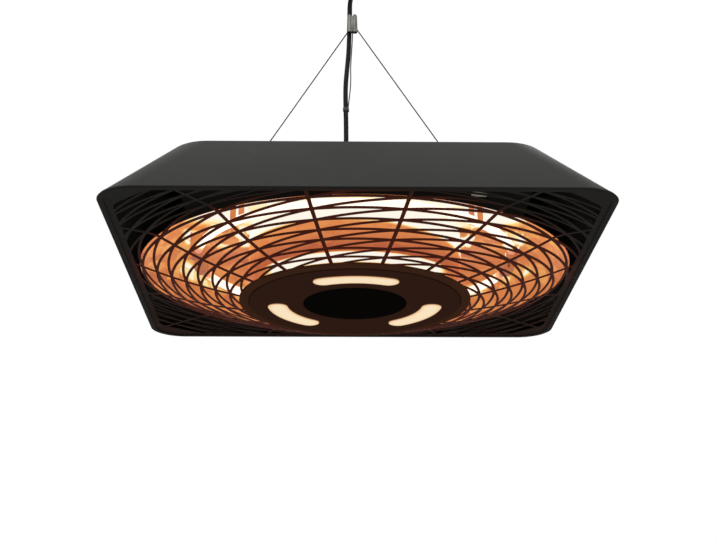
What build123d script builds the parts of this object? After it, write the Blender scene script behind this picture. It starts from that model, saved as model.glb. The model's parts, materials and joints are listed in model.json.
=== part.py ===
from build123d import *
import math
import os

# A square infrared heater that hangs from a ceiling hook on a steel wire and a two-legged bridle.
# Every height below is measured from the housing's rim plane; the last step moves the model so that
# the ceiling face of the fitting is the origin. +Z is up, the front is -Y. Millimetres.

# Housing: a square pan of sheet steel, open at the bottom, with an inturned flange round the rim
rim_width = 600.0
roof_width = 450.0
housing_height = 89.4
corner_radius = 48.0
housing_wall = 1.2
flange_width = 8.0
heater_x = 3.0
clip_reach = 13.0
clip_rise = 14.0
clip_length = 24.0
clip_spacing = 300.0
clip_sheet = 1.2

# Grille: a flat border round a dome that bulges down, cut by a swirl of long slots
grille_thickness = 1.2
grille_edge_gap = 0.6
dome_radius = 285.0
dome_depth = 52.5
grille_hole_radius = 141.0
spoke_count = 15
first_spoke_angle = 12.0
first_ring_radius = 144.0
ring_pitch = 19.0
ring_count = 13
spoke_width = 4.5
line_width = 2.7
slot_tip_gap = 0.8
slot_limit_margin = 16.0
slot_limit_corner = 60.0
smallest_slot_area = 90.0
dome_bands = 8

# Centre unit: hub drum, collar, light cover with three slots, diffusers and centre cap
drum_radius = 140.0
drum_wall = 0.8
collar_radius = 151.2
collar_thickness = 2.0
cover_radius = 138.2
cover_step = 3.0
cover_thickness = 2.0
cover_wall_height = 10.0
cover_edge = 1.0
seam_gap = 0.5
light_slot_radius = 99.6
light_slot_width = 30.0
light_slot_angle = 64.0
light_count = 3
diffuser_gap = 0.3
diffuser_thickness = 1.7
board_overlap = 2.0
led_board_thickness = 1.6
cap_radius = 68.5
cap_crown = 2.0
cap_slope_width = 24.0
cap_thickness = 2.0
cap_wall_height = 8.0
receiver_board_size = 44.0

# Reflector and heat shield
reflector_thickness = 0.8
reflector_mouth_radius = 280.0
reflector_floor_radius = 234.0
reflector_floor_height = 46.0
reflector_mouth_height = 3.2
shield_height = 64.0
shield_thickness = 1.0
shield_margin = 5.0
shield_corner = 20.0
standoff_flats = 8.0
standoff_circle = 190.0

# Lamps: two half rings of quartz tube with ceramic ends
lamp_circle = 207.0
lamp_height = 18.0
lamp_steps = 14
lamp_tube_radius = 5.5
lamp_bore_radius = 4.2
lamp_half_angle = 79.0
filament_half_angle = 74.0
filament_width = 2.6
filament_pin_radius = 0.6
lamp_end_angle = 6.0
lamp_end_width = 15.0
lamp_end_edge = 2.0
lamp_end_gap = 0.9
holder_width = 70.0
holder_thickness = 1.5
holder_foot = 14.0
lamp_clip_angles = (45.0, 135.0, 225.0, 315.0)
lamp_clip_width = 10.0
lamp_clip_sheet = 0.8
lamp_clip_gap = 0.8

# Electrical parts between heat shield and roof
box_length = 120.0
box_width = 70.0
box_height = 18.0
box_wall = 1.5
box_x = -100.0
terminal_length = 46.0
terminal_width = 20.0
terminal_height = 14.0
terminal_x = 55.0
box_corner = 1.5
boss_radius = 2.5
board_gap = 4.0
board_margin = 5.0
relay_size = (20.0, 16.0, 8.0)
relay_place = (28.0, 10.0)
filter_size = (14.0, 14.0, 8.0)
filter_place = (-30.0, -12.0)
terminal_pit = (8.0, 5.0, 6.0)
cutout_radius = 8.0
cutout_height = 6.0
cutout_ear = (28.0, 10.0, 1.0)
cutout_place = (-20.0, 70.0)
link_lead_y = 16.0
lead_radius = 1.6
lead_rise = 7.0
lead_bend = 8.0
lead_gap = 0.4
stud_radius = 2.0
earth_place = (90.0, 60.0)
earth_length = 12.0
nut_flats = 7.0
nut_height = 4.0
nut_gap = 0.1
grip_place = 15.0
grip_length = 12.0
grip_width = 26.0
grip_height = 14.0
grip_edge = 3.0
grip_bore_gap = 0.3

# Anchors of the bridle, and the axis that the heater tilts on
anchor_reach = 172.0
tilt_rise = 10.6
tilt_range = 15.0
anchor_length = 14.0
anchor_width = 12.0
anchor_top = 6.0
anchor_edge = 1.5
barrel_end_radius = 2.6
barrel_end_length = 7.0
running_gap = 0.08
stud_length = 9.0

# Wires and gripper
wire_radius = 0.75
wire_gap = 0.35
gripper_bottom = 358.0
gripper_height = 26.5
barrel_spacing = 7.2
barrel_bottom_radius = 4.0
barrel_top_radius = 3.3
barrel_edge = 0.5
mouth_radius = 2.6
mouth_depth = 3.0
nipple_radius = 1.7
nipple_proud = 2.4
nipple_travel = 1.8
nipple_depth = 7.0
wire_grip = 3.0
left_grip = (-2.1, 0.0, 365.0)
right_grip = (5.2, 0.0, 365.0)
main_wire_x = -0.8

# Hook, canopy and cable boot
hook_height = 440.0
hook_rod_radius = 2.0
hook_bend_radius = 8.0
hook_tip_rise = 2.0
loop_steps = 8
canopy_radius = 60.0
canopy_bottom = 457.0
canopy_height = 25.0
canopy_wall = 1.2
canopy_edge = 5.0
canopy_hole_gap = 0.3
plate_thickness = 2.0
plate_radius = 56.0
plate_hole_spacing = 80.0
plate_hole_radius = 2.5
canopy_tab_height = 8.0
boot_y = 20.0
boot_length = 22.0
boot_top_radius = 8.0
boot_bottom_radius = 7.0
boot_bore = 5.6
boot_neck_radius = 6.8
boot_flange_radius = 8.6
boot_flange_height = 3.0
hook_nut_flats = 8.0
hook_nut_height = 5.5
canopy_lead_gap = 2.0
canopy_lead_height = 470.0
canopy_lead_bend = 10.0
canopy_terminal_x = 18.0
canopy_terminal_size = (30.0, 20.0, 18.0)
canopy_screw_radius = 1.5
canopy_screw_head = 3.0
canopy_screw_head_height = 1.8
ferrule_bottom = 417.0
ferrule_length = 9.0
ferrule_radius = 1.9
ferrule_edge = 0.4

# Power cable and gland
cable_radius = 3.3
gland_x = -8.8
gland_flats = 22.0
gland_hex_height = 6.0
gland_nut_radius = 10.5
gland_nut_height = 9.5
gland_nut_edge = 3.0
gland_thread_radius = 8.0
gland_bore = 5.3
gland_wall_gap = 0.2
gland_thread_length = 7.0
gland_lock_height = 4.0
cable_foot_rise = 6.6
cable_head = 444.0
inner_cable_gap = 1.6
inner_cable_bend = 15.0
inner_cable_rise = 8.0
tie_height = 241.0
tie_width = 5.0
tie_wall = 1.0
tie_gap = 0.35
tie_head = (2.4, 3.2)

# Sides of round pieces, large and small
large_round_sides = 40
small_round_sides = 12

# Worked-out places
rim_half = rim_width / 2
roof_half = roof_width / 2
wall_slope = (rim_half - roof_half) / housing_height
wall_across = housing_wall * math.hypot(1, wall_slope)
grille_height = housing_wall
sphere_radius = (dome_radius**2 + dome_depth**2) / (2 * dome_depth)
sphere_height = grille_height - dome_depth + sphere_radius
roof_underside = housing_height - housing_wall
slot_limit_width = rim_width - 2 * slot_limit_margin
tilt_height = housing_height + tilt_rise
cable_foot = housing_height + cable_foot_rise
shield_top = shield_height + shield_thickness
inner_cable_height = shield_top + inner_cable_rise
lead_height = shield_top + lead_rise
ceiling_height = canopy_bottom + canopy_height


def dome_height(radius):
    """Height of the dome's underside at a radius."""
    return sphere_height - math.sqrt(sphere_radius**2 - radius**2)


collar_top = dome_height(grille_hole_radius) - 0.1
collar_bottom = collar_top - collar_thickness
cover_bottom = collar_bottom - cover_step
light_inner_height = cover_bottom + cover_thickness


def inner_half(height):
    """Half the width inside the housing's walls at a height."""
    return rim_half - wall_across - wall_slope * height


def at(x, y, z):
    return Location((x, y, z))


def from_front(radius, angle):
    """A point at an angle from the front, growing towards the left, as seen from above."""
    turn = math.radians(-90 - angle)
    return (radius * math.cos(turn), radius * math.sin(turn))


def disc(radius):
    """A round outline with flat sides, so that the whole model stays light."""
    return RegularPolygon(radius, large_round_sides if radius > 50 else small_round_sides)


def ring(outer, inner, bottom, height):
    """A flat ring or short tube about the centre line."""
    return at(0, 0, bottom) * extrude(disc(outer) - disc(inner), height)


def post(radius, bottom, height):
    return at(0, 0, bottom) * extrude(disc(radius), height)


def through(radius):
    """A cutter for a round opening, long enough for any piece."""
    return extrude(disc(radius), ceiling_height, both=True)


def block(length, width, height, x=0, y=0, bottom=0):
    return at(x, y, bottom) * Box(length, width, height, align=(Align.CENTER, Align.CENTER, Align.MIN))


def hexagon(flats, bottom, height):
    return at(0, 0, bottom) * extrude(RegularPolygon(flats / math.sqrt(3), 6), height)


def rod(start, end, radius):
    """A straight rod from one point to another."""
    line = Vector(*end) - Vector(*start)
    return extrude(Plane(origin=start, z_dir=line) * RegularPolygon(radius, 8), line.length)


def swept(path, radius, sides=8):
    """A wire, lead or cable along a smooth path, its round section drawn with flat sides."""
    return sweep(Plane(origin=path @ 0, z_dir=path % 0) * RegularPolygon(radius, sides), path=path)


def bent(points, radius):
    """A wire, lead or rod along short straight runs, its round section drawn with eight sides."""
    path = Polyline(*points)
    section = Plane(origin=path @ 0, z_dir=path % 0) * RegularPolygon(radius, 8)
    return sweep(section, path=path, transition=Transition.RIGHT)


def rounded_corner(before, corner, after, radius, steps=3):
    """Points along a quarter turn of a lead or rod, in place of its square corner."""
    back = (before - corner).normalized() * radius
    onward = (after - corner).normalized() * radius
    centre = corner + back + onward
    turns = [math.pi / 2 * n / steps for n in range(steps + 1)]
    return [centre - onward * math.cos(t) - back * math.sin(t) for t in turns]


def sloped_pan(bottom_half, bottom, top_half, top, corner):
    """A solid with four flat sloping sides and leaning round corners of one radius all the way up."""
    low = Plane.XY.offset(bottom) * RectangleRounded(2 * bottom_half, 2 * bottom_half, corner)
    high = Plane.XY.offset(top) * RectangleRounded(2 * top_half, 2 * top_half, corner)
    lean = bottom_half - top_half

    def rise(point):
        return Vector(-math.copysign(lean, point.X), -math.copysign(lean, point.Y), top - bottom)

    sides = [low.face(), high.face()]
    for edge in low.edges():
        if edge.geom_type == GeomType.CIRCLE:
            sides.append(Face.extrude(edge, rise(edge.arc_center)))
            continue
        start, end = edge @ 0, edge @ 1
        corners = [start, end, end + rise(end), start + rise(start)]
        sides.append(Face(Wire.make_polygon(corners)))
    return Solid(Shell(sides))


def heater(shape):
    """Moves a piece of the heater from its own centre line to where it hangs."""
    return at(heater_x, 0, 0) * shape


# Housing
def housing_shell():
    outer = sloped_pan(rim_half, 0, roof_half, housing_height, corner_radius)
    low = housing_wall
    inner_corner = corner_radius - wall_across
    inner = sloped_pan(inner_half(low), low, inner_half(roof_underside), roof_underside, inner_corner)
    mouth = rim_width - 2 * flange_width
    shell = outer - inner
    shell -= extrude(RectangleRounded(mouth, mouth, corner_radius - flange_width), 2 * low)
    gland_hole = post(gland_thread_radius + gland_wall_gap, roof_underside - 1, 3 * housing_wall)
    shell -= at(gland_x - heater_x, 0, 0) * gland_hole
    stud_hole = post(stud_radius + gland_wall_gap, roof_underside - 1, 3 * housing_wall)
    return shell - [at(side * anchor_reach, 0, 0) * stud_hole for side in (-1, 1)]


# Grille
def slot_outline(tip, middle, wide, inner_edge, outer_edge):
    """One long three-sided slot between two edges that meet at its tip, bent at its middle angle."""
    return make_face(
        Polyline(
            from_front((inner_edge(tip) + outer_edge(tip)) / 2, tip),
            from_front(outer_edge(middle), middle),
            from_front(outer_edge(wide), wide),
            from_front(inner_edge(wide), wide),
            from_front(inner_edge(middle), middle),
            close=True,
        )
    )


def sector_slots(spoke_angle, ring_radius):
    """The pair of slots between one spoke and the next, and between one ring and the next ring out."""
    sector = 360.0 / spoke_count
    middle = spoke_angle + sector / 2
    outer_radius = ring_radius + ring_pitch
    half_spoke = math.degrees(spoke_width / 2 / (ring_radius + ring_pitch / 2))
    tip_turn = sector * (line_width + slot_tip_gap) / ring_pitch
    half_line = line_width / 2

    def diagonal(angle):
        return outer_radius - ring_pitch * (angle - spoke_angle) / sector

    outer_slot = slot_outline(
        spoke_angle + tip_turn,
        middle,
        spoke_angle + sector - half_spoke,
        lambda a: diagonal(a) + half_line,
        lambda a: outer_radius - half_line,
    )
    inner_slot = slot_outline(
        spoke_angle + sector - tip_turn,
        middle,
        spoke_angle + half_spoke,
        lambda a: ring_radius + half_line,
        lambda a: diagonal(a) - half_line,
    )
    return [outer_slot, inner_slot]


def grille_slots():
    """Every slot of the swirl, those that cross the border cut back to it."""
    limit = RectangleRounded(slot_limit_width, slot_limit_width, slot_limit_corner)
    limit = limit.faces()[0]
    slots = []
    for band in range(ring_count - 1):
        ring_radius = first_ring_radius + band * ring_pitch
        for spoke in range(spoke_count):
            angle = first_spoke_angle + spoke * 360.0 / spoke_count
            for slot in sector_slots(angle, ring_radius):
                if ring_radius + ring_pitch < slot_limit_width / 2:
                    slots.append(slot)
                    continue
                kept = slot & limit
                faces = kept.faces() if kept else []
                slots += [face for face in faces if face.area > smallest_slot_area]
    return slots


def dome_corner(radius, height, step):
    """A corner of the dome's facets, which turn by half the angle between two spokes."""
    x, y = from_front(radius, first_spoke_angle + step * 180.0 / spoke_count)
    return Vector(x, y, height)


def dome_sheet():
    """The dome's sheet in flat facets that follow its sphere, from the hub opening to the flat border."""
    radii = [grille_hole_radius] + [first_ring_radius + ring_pitch * n for n in range(1, dome_bands)]
    rings = [(radius, dome_height(radius)) for radius in radii]
    rings.append((dome_radius, grille_height))
    quads = []
    for lift in (0, grille_thickness):
        quads += [(r0, z0 + lift, r1, z1 + lift) for (r0, z0), (r1, z1) in zip(rings, rings[1:])]
    quads += [(radius, z, radius, z + grille_thickness) for radius, z in (rings[0], rings[-1])]
    faces = []
    for r0, z0, r1, z1 in quads:
        for n in range(2 * spoke_count):
            corners = [dome_corner(r0, z0, n), dome_corner(r1, z1, n)]
            corners += [dome_corner(r1, z1, n + 1), dome_corner(r0, z0, n + 1)]
            faces.append(Face(Wire.make_polygon(corners)))
    return Solid(Shell(faces))


def grille():
    side = 2 * (inner_half(grille_height + grille_thickness) - grille_edge_gap)
    border_corner = corner_radius - wall_across - grille_edge_gap
    edge_points = [dome_corner(dome_radius, 0, n) for n in range(2 * spoke_count)]
    border = RectangleRounded(side, side, border_corner) - make_face(Polyline(*edge_points, close=True))
    sheet = at(0, 0, grille_height) * extrude(border, grille_thickness) + dome_sheet()
    prisms = [extrude(slot, dome_depth, both=True) for slot in grille_slots()]
    return sheet - prisms


# Centre unit
def hub_drum():
    return ring(drum_radius, drum_radius - drum_wall, collar_top, shield_height - collar_top)


def centre_collar():
    body = ring(collar_radius, cover_radius + seam_gap, collar_bottom, collar_thickness)
    outside = body.faces().sort_by(Axis.Z)[0].outer_wire().edges()
    body = chamfer(outside, collar_thickness * 0.6)
    wall = drum_radius - drum_wall - 0.1
    return body + ring(wall, cover_radius + seam_gap, collar_top, cover_wall_height)


def light_slot(width):
    """The outline of one light slot at the front, with round ends, in short straight runs."""
    ends = math.degrees(light_slot_width / 2 / light_slot_radius)
    half = light_slot_angle / 2 - ends
    outer = [from_front(light_slot_radius + width / 2, half * n / 4) for n in range(-4, 5)]
    inner = [from_front(light_slot_radius - width / 2, half * n / 4) for n in range(4, -5, -1)]
    outline = make_face(Polyline(*outer, *inner, close=True))
    for side in (-1, 1):
        outline += at(*from_front(light_slot_radius, side * half), 0) * RegularPolygon(width / 2, 16)
    return outline


def around(shape):
    """Copies of a piece of the front light at each of the three lights."""
    return [Rotation(0, 0, 360.0 / light_count * n) * shape for n in range(light_count)]


def light_cover():
    body = post(cover_radius, cover_bottom, cover_thickness)
    body += ring(cover_radius, cover_radius - cover_thickness, light_inner_height, cover_wall_height)
    body = chamfer(body.faces().sort_by(Axis.Z)[0].edges(), cover_edge)
    body -= post(cap_radius + seam_gap, cover_bottom - 1, cover_thickness + 2)
    opening = extrude(light_slot(light_slot_width), cover_thickness + 2)
    return body - [at(0, 0, cover_bottom - 1) * cut for cut in around(opening)]


def led_diffusers():
    lens = extrude(light_slot(light_slot_width - 2 * diffuser_gap), diffuser_thickness)
    return Compound(around(at(0, 0, cover_bottom) * lens))


def led_boards():
    board = extrude(light_slot(light_slot_width + 2 * board_overlap), led_board_thickness)
    return Compound(around(at(0, 0, light_inner_height) * board))


def centre_cap():
    depth = cap_crown + cap_wall_height
    body = post(cap_radius, cover_bottom - cap_crown, depth)
    body = chamfer(body.faces().sort_by(Axis.Z)[0].edges(), cap_crown, cap_slope_width)
    body += ring(cap_radius + 3, cap_radius - cap_thickness, light_inner_height, cap_thickness)
    return body - post(cap_radius - cap_thickness, cover_bottom + cap_thickness, depth)


def receiver_board():
    bottom = cover_bottom + cap_thickness
    return block(receiver_board_size, receiver_board_size, led_board_thickness, bottom=bottom)


# Reflector and heat shield
def dish_solid(radius, bottom, floor_height):
    """A solid that narrows upwards with the dish's slope, closed at the floor's height."""
    rise = reflector_floor_height - reflector_mouth_height
    taper = math.degrees(math.atan((reflector_mouth_radius - reflector_floor_radius) / rise))
    return at(0, 0, bottom) * extrude(disc(radius), floor_height - bottom, taper=taper)


def reflector_dish():
    t = reflector_thickness
    body = dish_solid(reflector_mouth_radius + t, reflector_mouth_height, reflector_floor_height + t)
    body -= dish_solid(reflector_mouth_radius, reflector_mouth_height, reflector_floor_height)
    return body - through(drum_radius + 0.3) - lead_holes()


def heat_shield():
    width = roof_width - 2 * shield_margin
    plate = extrude(chamfer(Rectangle(width, width).vertices(), shield_corner), shield_thickness)
    return at(0, 0, shield_height) * plate - lead_holes()


def standoffs(bottom, top):
    posts = []
    for n in range(4):
        x, y = from_front(standoff_circle, 45 + 90 * n)
        posts.append(at(x, y, 0) * hexagon(standoff_flats, bottom, top - bottom))
    return Compound(posts)


# Lamps
def lamp_points(centre_angle, half_angle):
    """Points round the lamp circle, centred on an angle from the front."""
    angles = [centre_angle + half_angle * (2 * n / lamp_steps - 1) for n in range(lamp_steps + 1)]
    return [(*from_front(lamp_circle, angle), lamp_height) for angle in angles]


def heating_lamp(centre_angle):
    path = Polyline(*lamp_points(centre_angle, lamp_half_angle))
    tube = RegularPolygon(lamp_tube_radius, 8) - RegularPolygon(lamp_bore_radius, 8)
    return sweep(Plane(origin=path @ 0, z_dir=path % 0) * tube, path=path, transition=Transition.RIGHT)


def filament(centre_angle):
    """The wound heating band inside a lamp, with a pin at each end."""
    points = lamp_points(centre_angle, filament_half_angle)
    path = Polyline(*points)
    section = Plane(origin=path @ 0, z_dir=path % 0) * Rectangle(filament_width, filament_width)
    pieces = [sweep(section, path=path, transition=Transition.RIGHT)]
    ends = lamp_points(centre_angle, lamp_half_angle)
    pieces += [rod(points[n], ends[n], filament_pin_radius) for n in (0, -1)]
    return Compound(pieces)


def lamp_ends():
    """The four ceramic ends, each just past its tube."""
    middle = lamp_half_angle + lamp_end_angle / 2
    length = 2 * lamp_circle * math.tan(math.radians(lamp_end_angle / 2)) - 2 * lamp_end_gap
    ends = []
    for angle in (middle, 180 - middle, 180 + middle, 360 - middle):
        x, y = from_front(lamp_circle, angle)
        cap = chamfer(Box(lamp_end_width, length, lamp_end_width).edges().filter_by(Axis.Y), lamp_end_edge)
        ends.append(at(x, y, lamp_height) * Rotation(0, 0, -90 - angle) * cap)
    return Compound(ends)


def lead_angles():
    """Angles from the front at which the four lamp leads rise."""
    beside = lamp_half_angle + lamp_end_angle + math.degrees((lead_radius + 0.2) / lamp_circle)
    return (beside, 180 - beside, 180 + beside, 360 - beside)


def lamp_holders():
    """The two folded brackets that carry the ceramic ends under the reflector."""
    t = holder_thickness
    seat = lamp_height + lamp_end_width / 2
    rise = reflector_floor_height - seat
    half = holder_width / 2
    section = Polyline(
        (-half - holder_foot, rise),
        (-half, rise),
        (-half, t),
        (half, t),
        (half, rise),
        (half + holder_foot, rise),
        (half + holder_foot, rise - t),
        (half + t, rise - t),
        (half + t, 0),
        (-half - t, 0),
        (-half - t, rise - t),
        (-half - holder_foot, rise - t),
        close=True,
    )
    strip = extrude(Plane.YZ * make_face(section), lamp_end_width / 2, both=True)
    holders = Compound([at(side * lamp_circle, 0, seat) * strip for side in (-1, 1)])
    return holders - lead_holes()


def lead_holes():
    """Clearance holes for the lamp leads."""
    places = [from_front(lamp_circle, angle) for angle in lead_angles()]
    hole = extrude(RegularPolygon(lead_radius + lead_gap, 8), shield_top, both=True)
    return [at(x, y, 0) * hole for x, y in places]


def lamp_clips():
    """Sheet clips that grip the tubes and hang from the reflector's floor."""
    inner = lamp_tube_radius + lamp_clip_gap
    outer = inner + lamp_clip_sheet
    drop = reflector_floor_height - lamp_height + lamp_tube_radius / 2
    section = Polyline(
        (-outer, -drop),
        (-outer, 0),
        (outer, 0),
        (outer, -drop),
        (inner, -drop),
        (inner, -lamp_clip_sheet),
        (-inner, -lamp_clip_sheet),
        (-inner, -drop),
        close=True,
    )
    clip = extrude(Plane.XZ * make_face(section), lamp_clip_width / 2, both=True)
    clips = []
    for angle in lamp_clip_angles:
        x, y = from_front(lamp_circle, angle)
        clips.append(at(x, y, reflector_floor_height) * Rotation(0, 0, -90 - angle) * clip)
    return Compound(clips)


# Grille clips
def grille_clips():
    """Sheet clips inside the housing that hold the grille's border on the flange."""
    base = grille_height + grille_thickness
    high = base + clip_rise
    inner_low = inner_half(base)
    inner_high = inner_half(high)
    section = Polyline(
        (inner_low - clip_reach, base),
        (inner_low, base),
        (inner_high, high),
        (inner_high - clip_sheet * 1.3, high),
        (inner_half(base + clip_sheet) - clip_sheet * 1.3, base + clip_sheet),
        (inner_low - clip_reach, base + clip_sheet),
        close=True,
    )
    clip = extrude(Plane.XZ * make_face(section), clip_length / 2, both=True)
    clips = []
    for side in range(4):
        for along in (-clip_spacing / 2, clip_spacing / 2):
            clips.append(Rotation(0, 0, 90 * side) * at(0, along, 0) * clip)
    return Compound(clips)


# Electrical parts
def control_box():
    floor = shield_top
    body = block(box_length, box_width, box_height - box_wall, box_x, 0, floor)
    body = chamfer(body.edges().filter_by(Axis.Z), box_corner)
    inner_floor = floor + box_wall
    body -= block(box_length - 2 * box_wall, box_width - 2 * box_wall, box_height, box_x, 0, inner_floor)
    boss_x = box_length / 2 - board_margin - box_wall - boss_radius
    boss_y = box_width / 2 - board_margin - box_wall - boss_radius
    for x, y in ((-1, -1), (-1, 1), (1, -1), (1, 1)):
        boss_place = (box_x + x * boss_x, y * boss_y, inner_floor)
        body += block(2 * boss_radius, 2 * boss_radius, board_gap, *boss_place)
    return body


def control_box_lid():
    top = shield_top + box_height - box_wall
    lid = block(box_length, box_width, box_wall, box_x, 0, top)
    return chamfer(lid.edges().filter_by(Axis.Z), box_corner)


def control_board():
    bottom = shield_top + box_wall + board_gap
    length, width = box_length - 2 * board_margin, box_width - 2 * board_margin
    top = bottom + led_board_thickness
    board = block(length, width, led_board_thickness, box_x, 0, bottom)
    board += block(*relay_size, box_x + relay_place[0], relay_place[1], top)
    return board + block(*filter_size, box_x + filter_place[0], filter_place[1], top)


def terminal_block():
    floor = shield_top
    body = block(terminal_width, terminal_length, terminal_height, terminal_x, 0, floor)
    pit_bottom = floor + terminal_height - terminal_pit[2]
    for n in (-1, 0, 1):
        body -= block(*terminal_pit, terminal_x, n * terminal_length / 3, pit_bottom)
    return body


def thermal_cutout():
    x, y = cutout_place
    floor = shield_top
    body = at(x, y, 0) * post(cutout_radius, floor, cutout_height)
    return body + block(*cutout_ear, x, y, floor)


def earth_stud():
    x, y = earth_place
    return at(x, y, 0) * post(stud_radius, roof_underside - earth_length, earth_length)


def earth_nut():
    x, y = earth_place
    nut = hexagon(nut_flats, roof_underside - earth_length + 2, nut_height)
    return at(x, y, 0) * (nut - through(stud_radius + nut_gap))


def cord_grip():
    floor = shield_top
    body = block(grip_length, grip_width, grip_height, grip_place, 0, floor)
    body = chamfer(body.edges().filter_by(Axis.X).group_by(Axis.Z)[-1], grip_edge)
    bore = at(grip_place, 0, inner_cable_height) * Rotation(0, 90, 0)
    return body - bore * through(cable_radius + grip_bore_gap)


def inner_cable():
    """The cable's last stretch, from the gland to the terminal block."""
    x = gland_x - heater_x
    start = Vector(x, 0, cable_foot - inner_cable_gap)
    corner = Vector(x, 0, inner_cable_height)
    end = Vector(terminal_x - terminal_width / 2, 0, inner_cable_height)
    return bent([start, *rounded_corner(start, corner, end, inner_cable_bend), end], cable_radius)


def internal_leads():
    """Insulated leads: four up from the ceramic ends, and two between control box and terminals."""
    leads = []
    box_side = box_x - box_length / 2
    block_side = terminal_x + terminal_width / 2
    for angle in lead_angles():
        x, y = from_front(lamp_circle, angle)
        start = Vector(x, y, lamp_height - 2)
        corner = Vector(x, y, lead_height)
        end = Vector(box_side if x < 0 else block_side, y, lead_height)
        leads.append(bent([start, *rounded_corner(start, corner, end, lead_bend), end], lead_radius))
    for y in (-link_lead_y, link_lead_y):
        start = (box_x + box_length / 2, y, lead_height)
        leads.append(rod(start, (terminal_x - terminal_width / 2, y, lead_height), lead_radius))
    return Compound(leads)


# Anchors of the bridle
def bridle_line(side):
    """The anchor's centre and the point where that bridle wire ends in the gripper."""
    grip = left_grip if side < 0 else right_grip
    return Vector(heater_x + side * anchor_reach, 0, tilt_height), Vector(*grip)


def anchor_block(side):
    """A block with a cross bore for the barrel end and a fan-shaped slot for the wire."""
    centre, grip = bridle_line(side)
    x = centre.X
    body = block(anchor_length, anchor_width, tilt_rise + anchor_top, x, 0, housing_height)
    body = chamfer(body.edges().filter_by(Axis.Z), anchor_edge)
    bore = Cylinder(barrel_end_radius + running_gap, 2 * anchor_length)
    body -= at(x, 0, tilt_height) * Rotation(0, 90, 0) * bore
    along = (grip - centre).normalized()
    across = Vector(along.Z, 0, -along.X) * (wire_radius + wire_gap)
    near = centre + along * barrel_end_radius * 0.7
    far = centre + along * 2 * anchor_length
    strip = make_face(Polyline(near + across, far + across, far - across, near - across, close=True))
    axis = Axis((x, 0, tilt_height), (1, 0, 0))
    open_angle = 2 * tilt_range + 6
    body -= revolve(strip, axis, open_angle).rotate(axis, -open_angle / 2)
    for n in (-1, 1):
        body -= extrude(strip.rotate(axis, n * open_angle / 2), wire_radius + wire_gap, both=True)
    return body + at(x, 0, 0) * post(stud_radius, housing_height - stud_length, stud_length)


def anchor_nuts():
    nut = hexagon(nut_flats, roof_underside - nut_height, nut_height) - through(stud_radius + nut_gap)
    return Compound([at(heater_x + side * anchor_reach, 0, 0) * nut for side in (-1, 1)])


def barrel_ends():
    """The cross barrels on the ends of the bridle wires, on the axis that the heater tilts about."""
    pins = []
    for side in (-1, 1):
        centre, _ = bridle_line(side)
        pins.append(at(*centre) * Rotation(0, 90, 0) * Cylinder(barrel_end_radius, barrel_end_length))
    return Compound(pins)


def bridle_wire(side):
    centre, grip = bridle_line(side)
    start = centre + (grip - centre).normalized() * barrel_end_radius / 2
    return rod(tuple(start), tuple(grip), wire_radius)


# Gripper
gripper_top = gripper_bottom + gripper_height


def barrel_place(side):
    return at(side * barrel_spacing / 2, 0, 0)


def gripper_body():
    taper = math.degrees(math.atan((barrel_bottom_radius - barrel_top_radius) / gripper_height))
    barrel = extrude(RegularPolygon(barrel_bottom_radius, 16), gripper_height, taper=taper)
    ends = barrel.faces().filter_by(Axis.Z).edges()
    barrel = at(0, 0, gripper_bottom) * chamfer(ends, barrel_edge)
    body = block(barrel_spacing, barrel_top_radius * 1.5, gripper_height - 2, 0, 0, gripper_bottom + 1)
    bore_depth = nipple_depth + nipple_travel + 0.5
    mouth = post(mouth_radius, gripper_bottom - 1, mouth_depth + 1)
    bore = post(nipple_radius + running_gap, gripper_top - bore_depth, bore_depth + 1)
    for side in (-1, 1):
        body += barrel_place(side) * barrel
    return body - [barrel_place(side) * cut for side in (-1, 1) for cut in (mouth, bore)]


def release_nipple(side):
    nipple = post(nipple_radius, gripper_top - nipple_depth, nipple_depth + nipple_proud)
    nipple = chamfer(nipple.faces().sort_by(Axis.Z)[-1].edges(), barrel_edge)
    return barrel_place(side) * nipple


# Main wire, loop and hook
def loop_tangent():
    """Where the loop's straight legs meet its round top, on the right hand side."""
    round_radius = hook_rod_radius + wire_gap + wire_radius
    foot_x, foot_z = -main_wire_x, ferrule_bottom + ferrule_length - hook_height
    reach = math.hypot(foot_x, foot_z)
    angle = math.atan2(foot_z, foot_x) + math.acos(round_radius / reach)
    return round_radius, round_radius * math.cos(angle), hook_height + round_radius * math.sin(angle)


def suspension_wire():
    straight = rod((main_wire_x, 0, gripper_top - wire_grip), (main_wire_x, 0, ferrule_bottom), wire_radius)
    round_radius, x, z = loop_tangent()
    start = math.atan2(z - hook_height, x)
    turn = math.pi - 2 * start
    angles = [start + turn * n / loop_steps for n in range(loop_steps, -1, -1)]
    over_hook = [(round_radius * math.cos(a), 0, hook_height + round_radius * math.sin(a)) for a in angles]
    foot = ferrule_bottom + ferrule_length
    loop = bent([(main_wire_x, 0, foot), *over_hook, (-main_wire_x, 0, foot)], wire_radius)
    return Compound([straight, loop])


def loop_ferrule():
    body = post(ferrule_radius, ferrule_bottom, ferrule_length)
    return chamfer(body.faces().filter_by(Axis.Z).edges(), ferrule_edge)


def ceiling_hook():
    r = hook_bend_radius
    centre = hook_height + r
    angles = [math.pi * n / loop_steps for n in range(loop_steps + 1)]
    bend = [(0, -r * math.cos(a), centre - r * math.sin(a)) for a in angles]
    top = (0, -r, ceiling_height - plate_thickness)
    return bent([top, *bend, (0, r, centre + hook_tip_rise)], hook_rod_radius)


def hook_nut():
    plate_underside = ceiling_height - plate_thickness
    nut = hexagon(hook_nut_flats, plate_underside - hook_nut_height, hook_nut_height)
    return at(0, -hook_bend_radius, 0) * (nut - through(hook_rod_radius + nut_gap))


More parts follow.
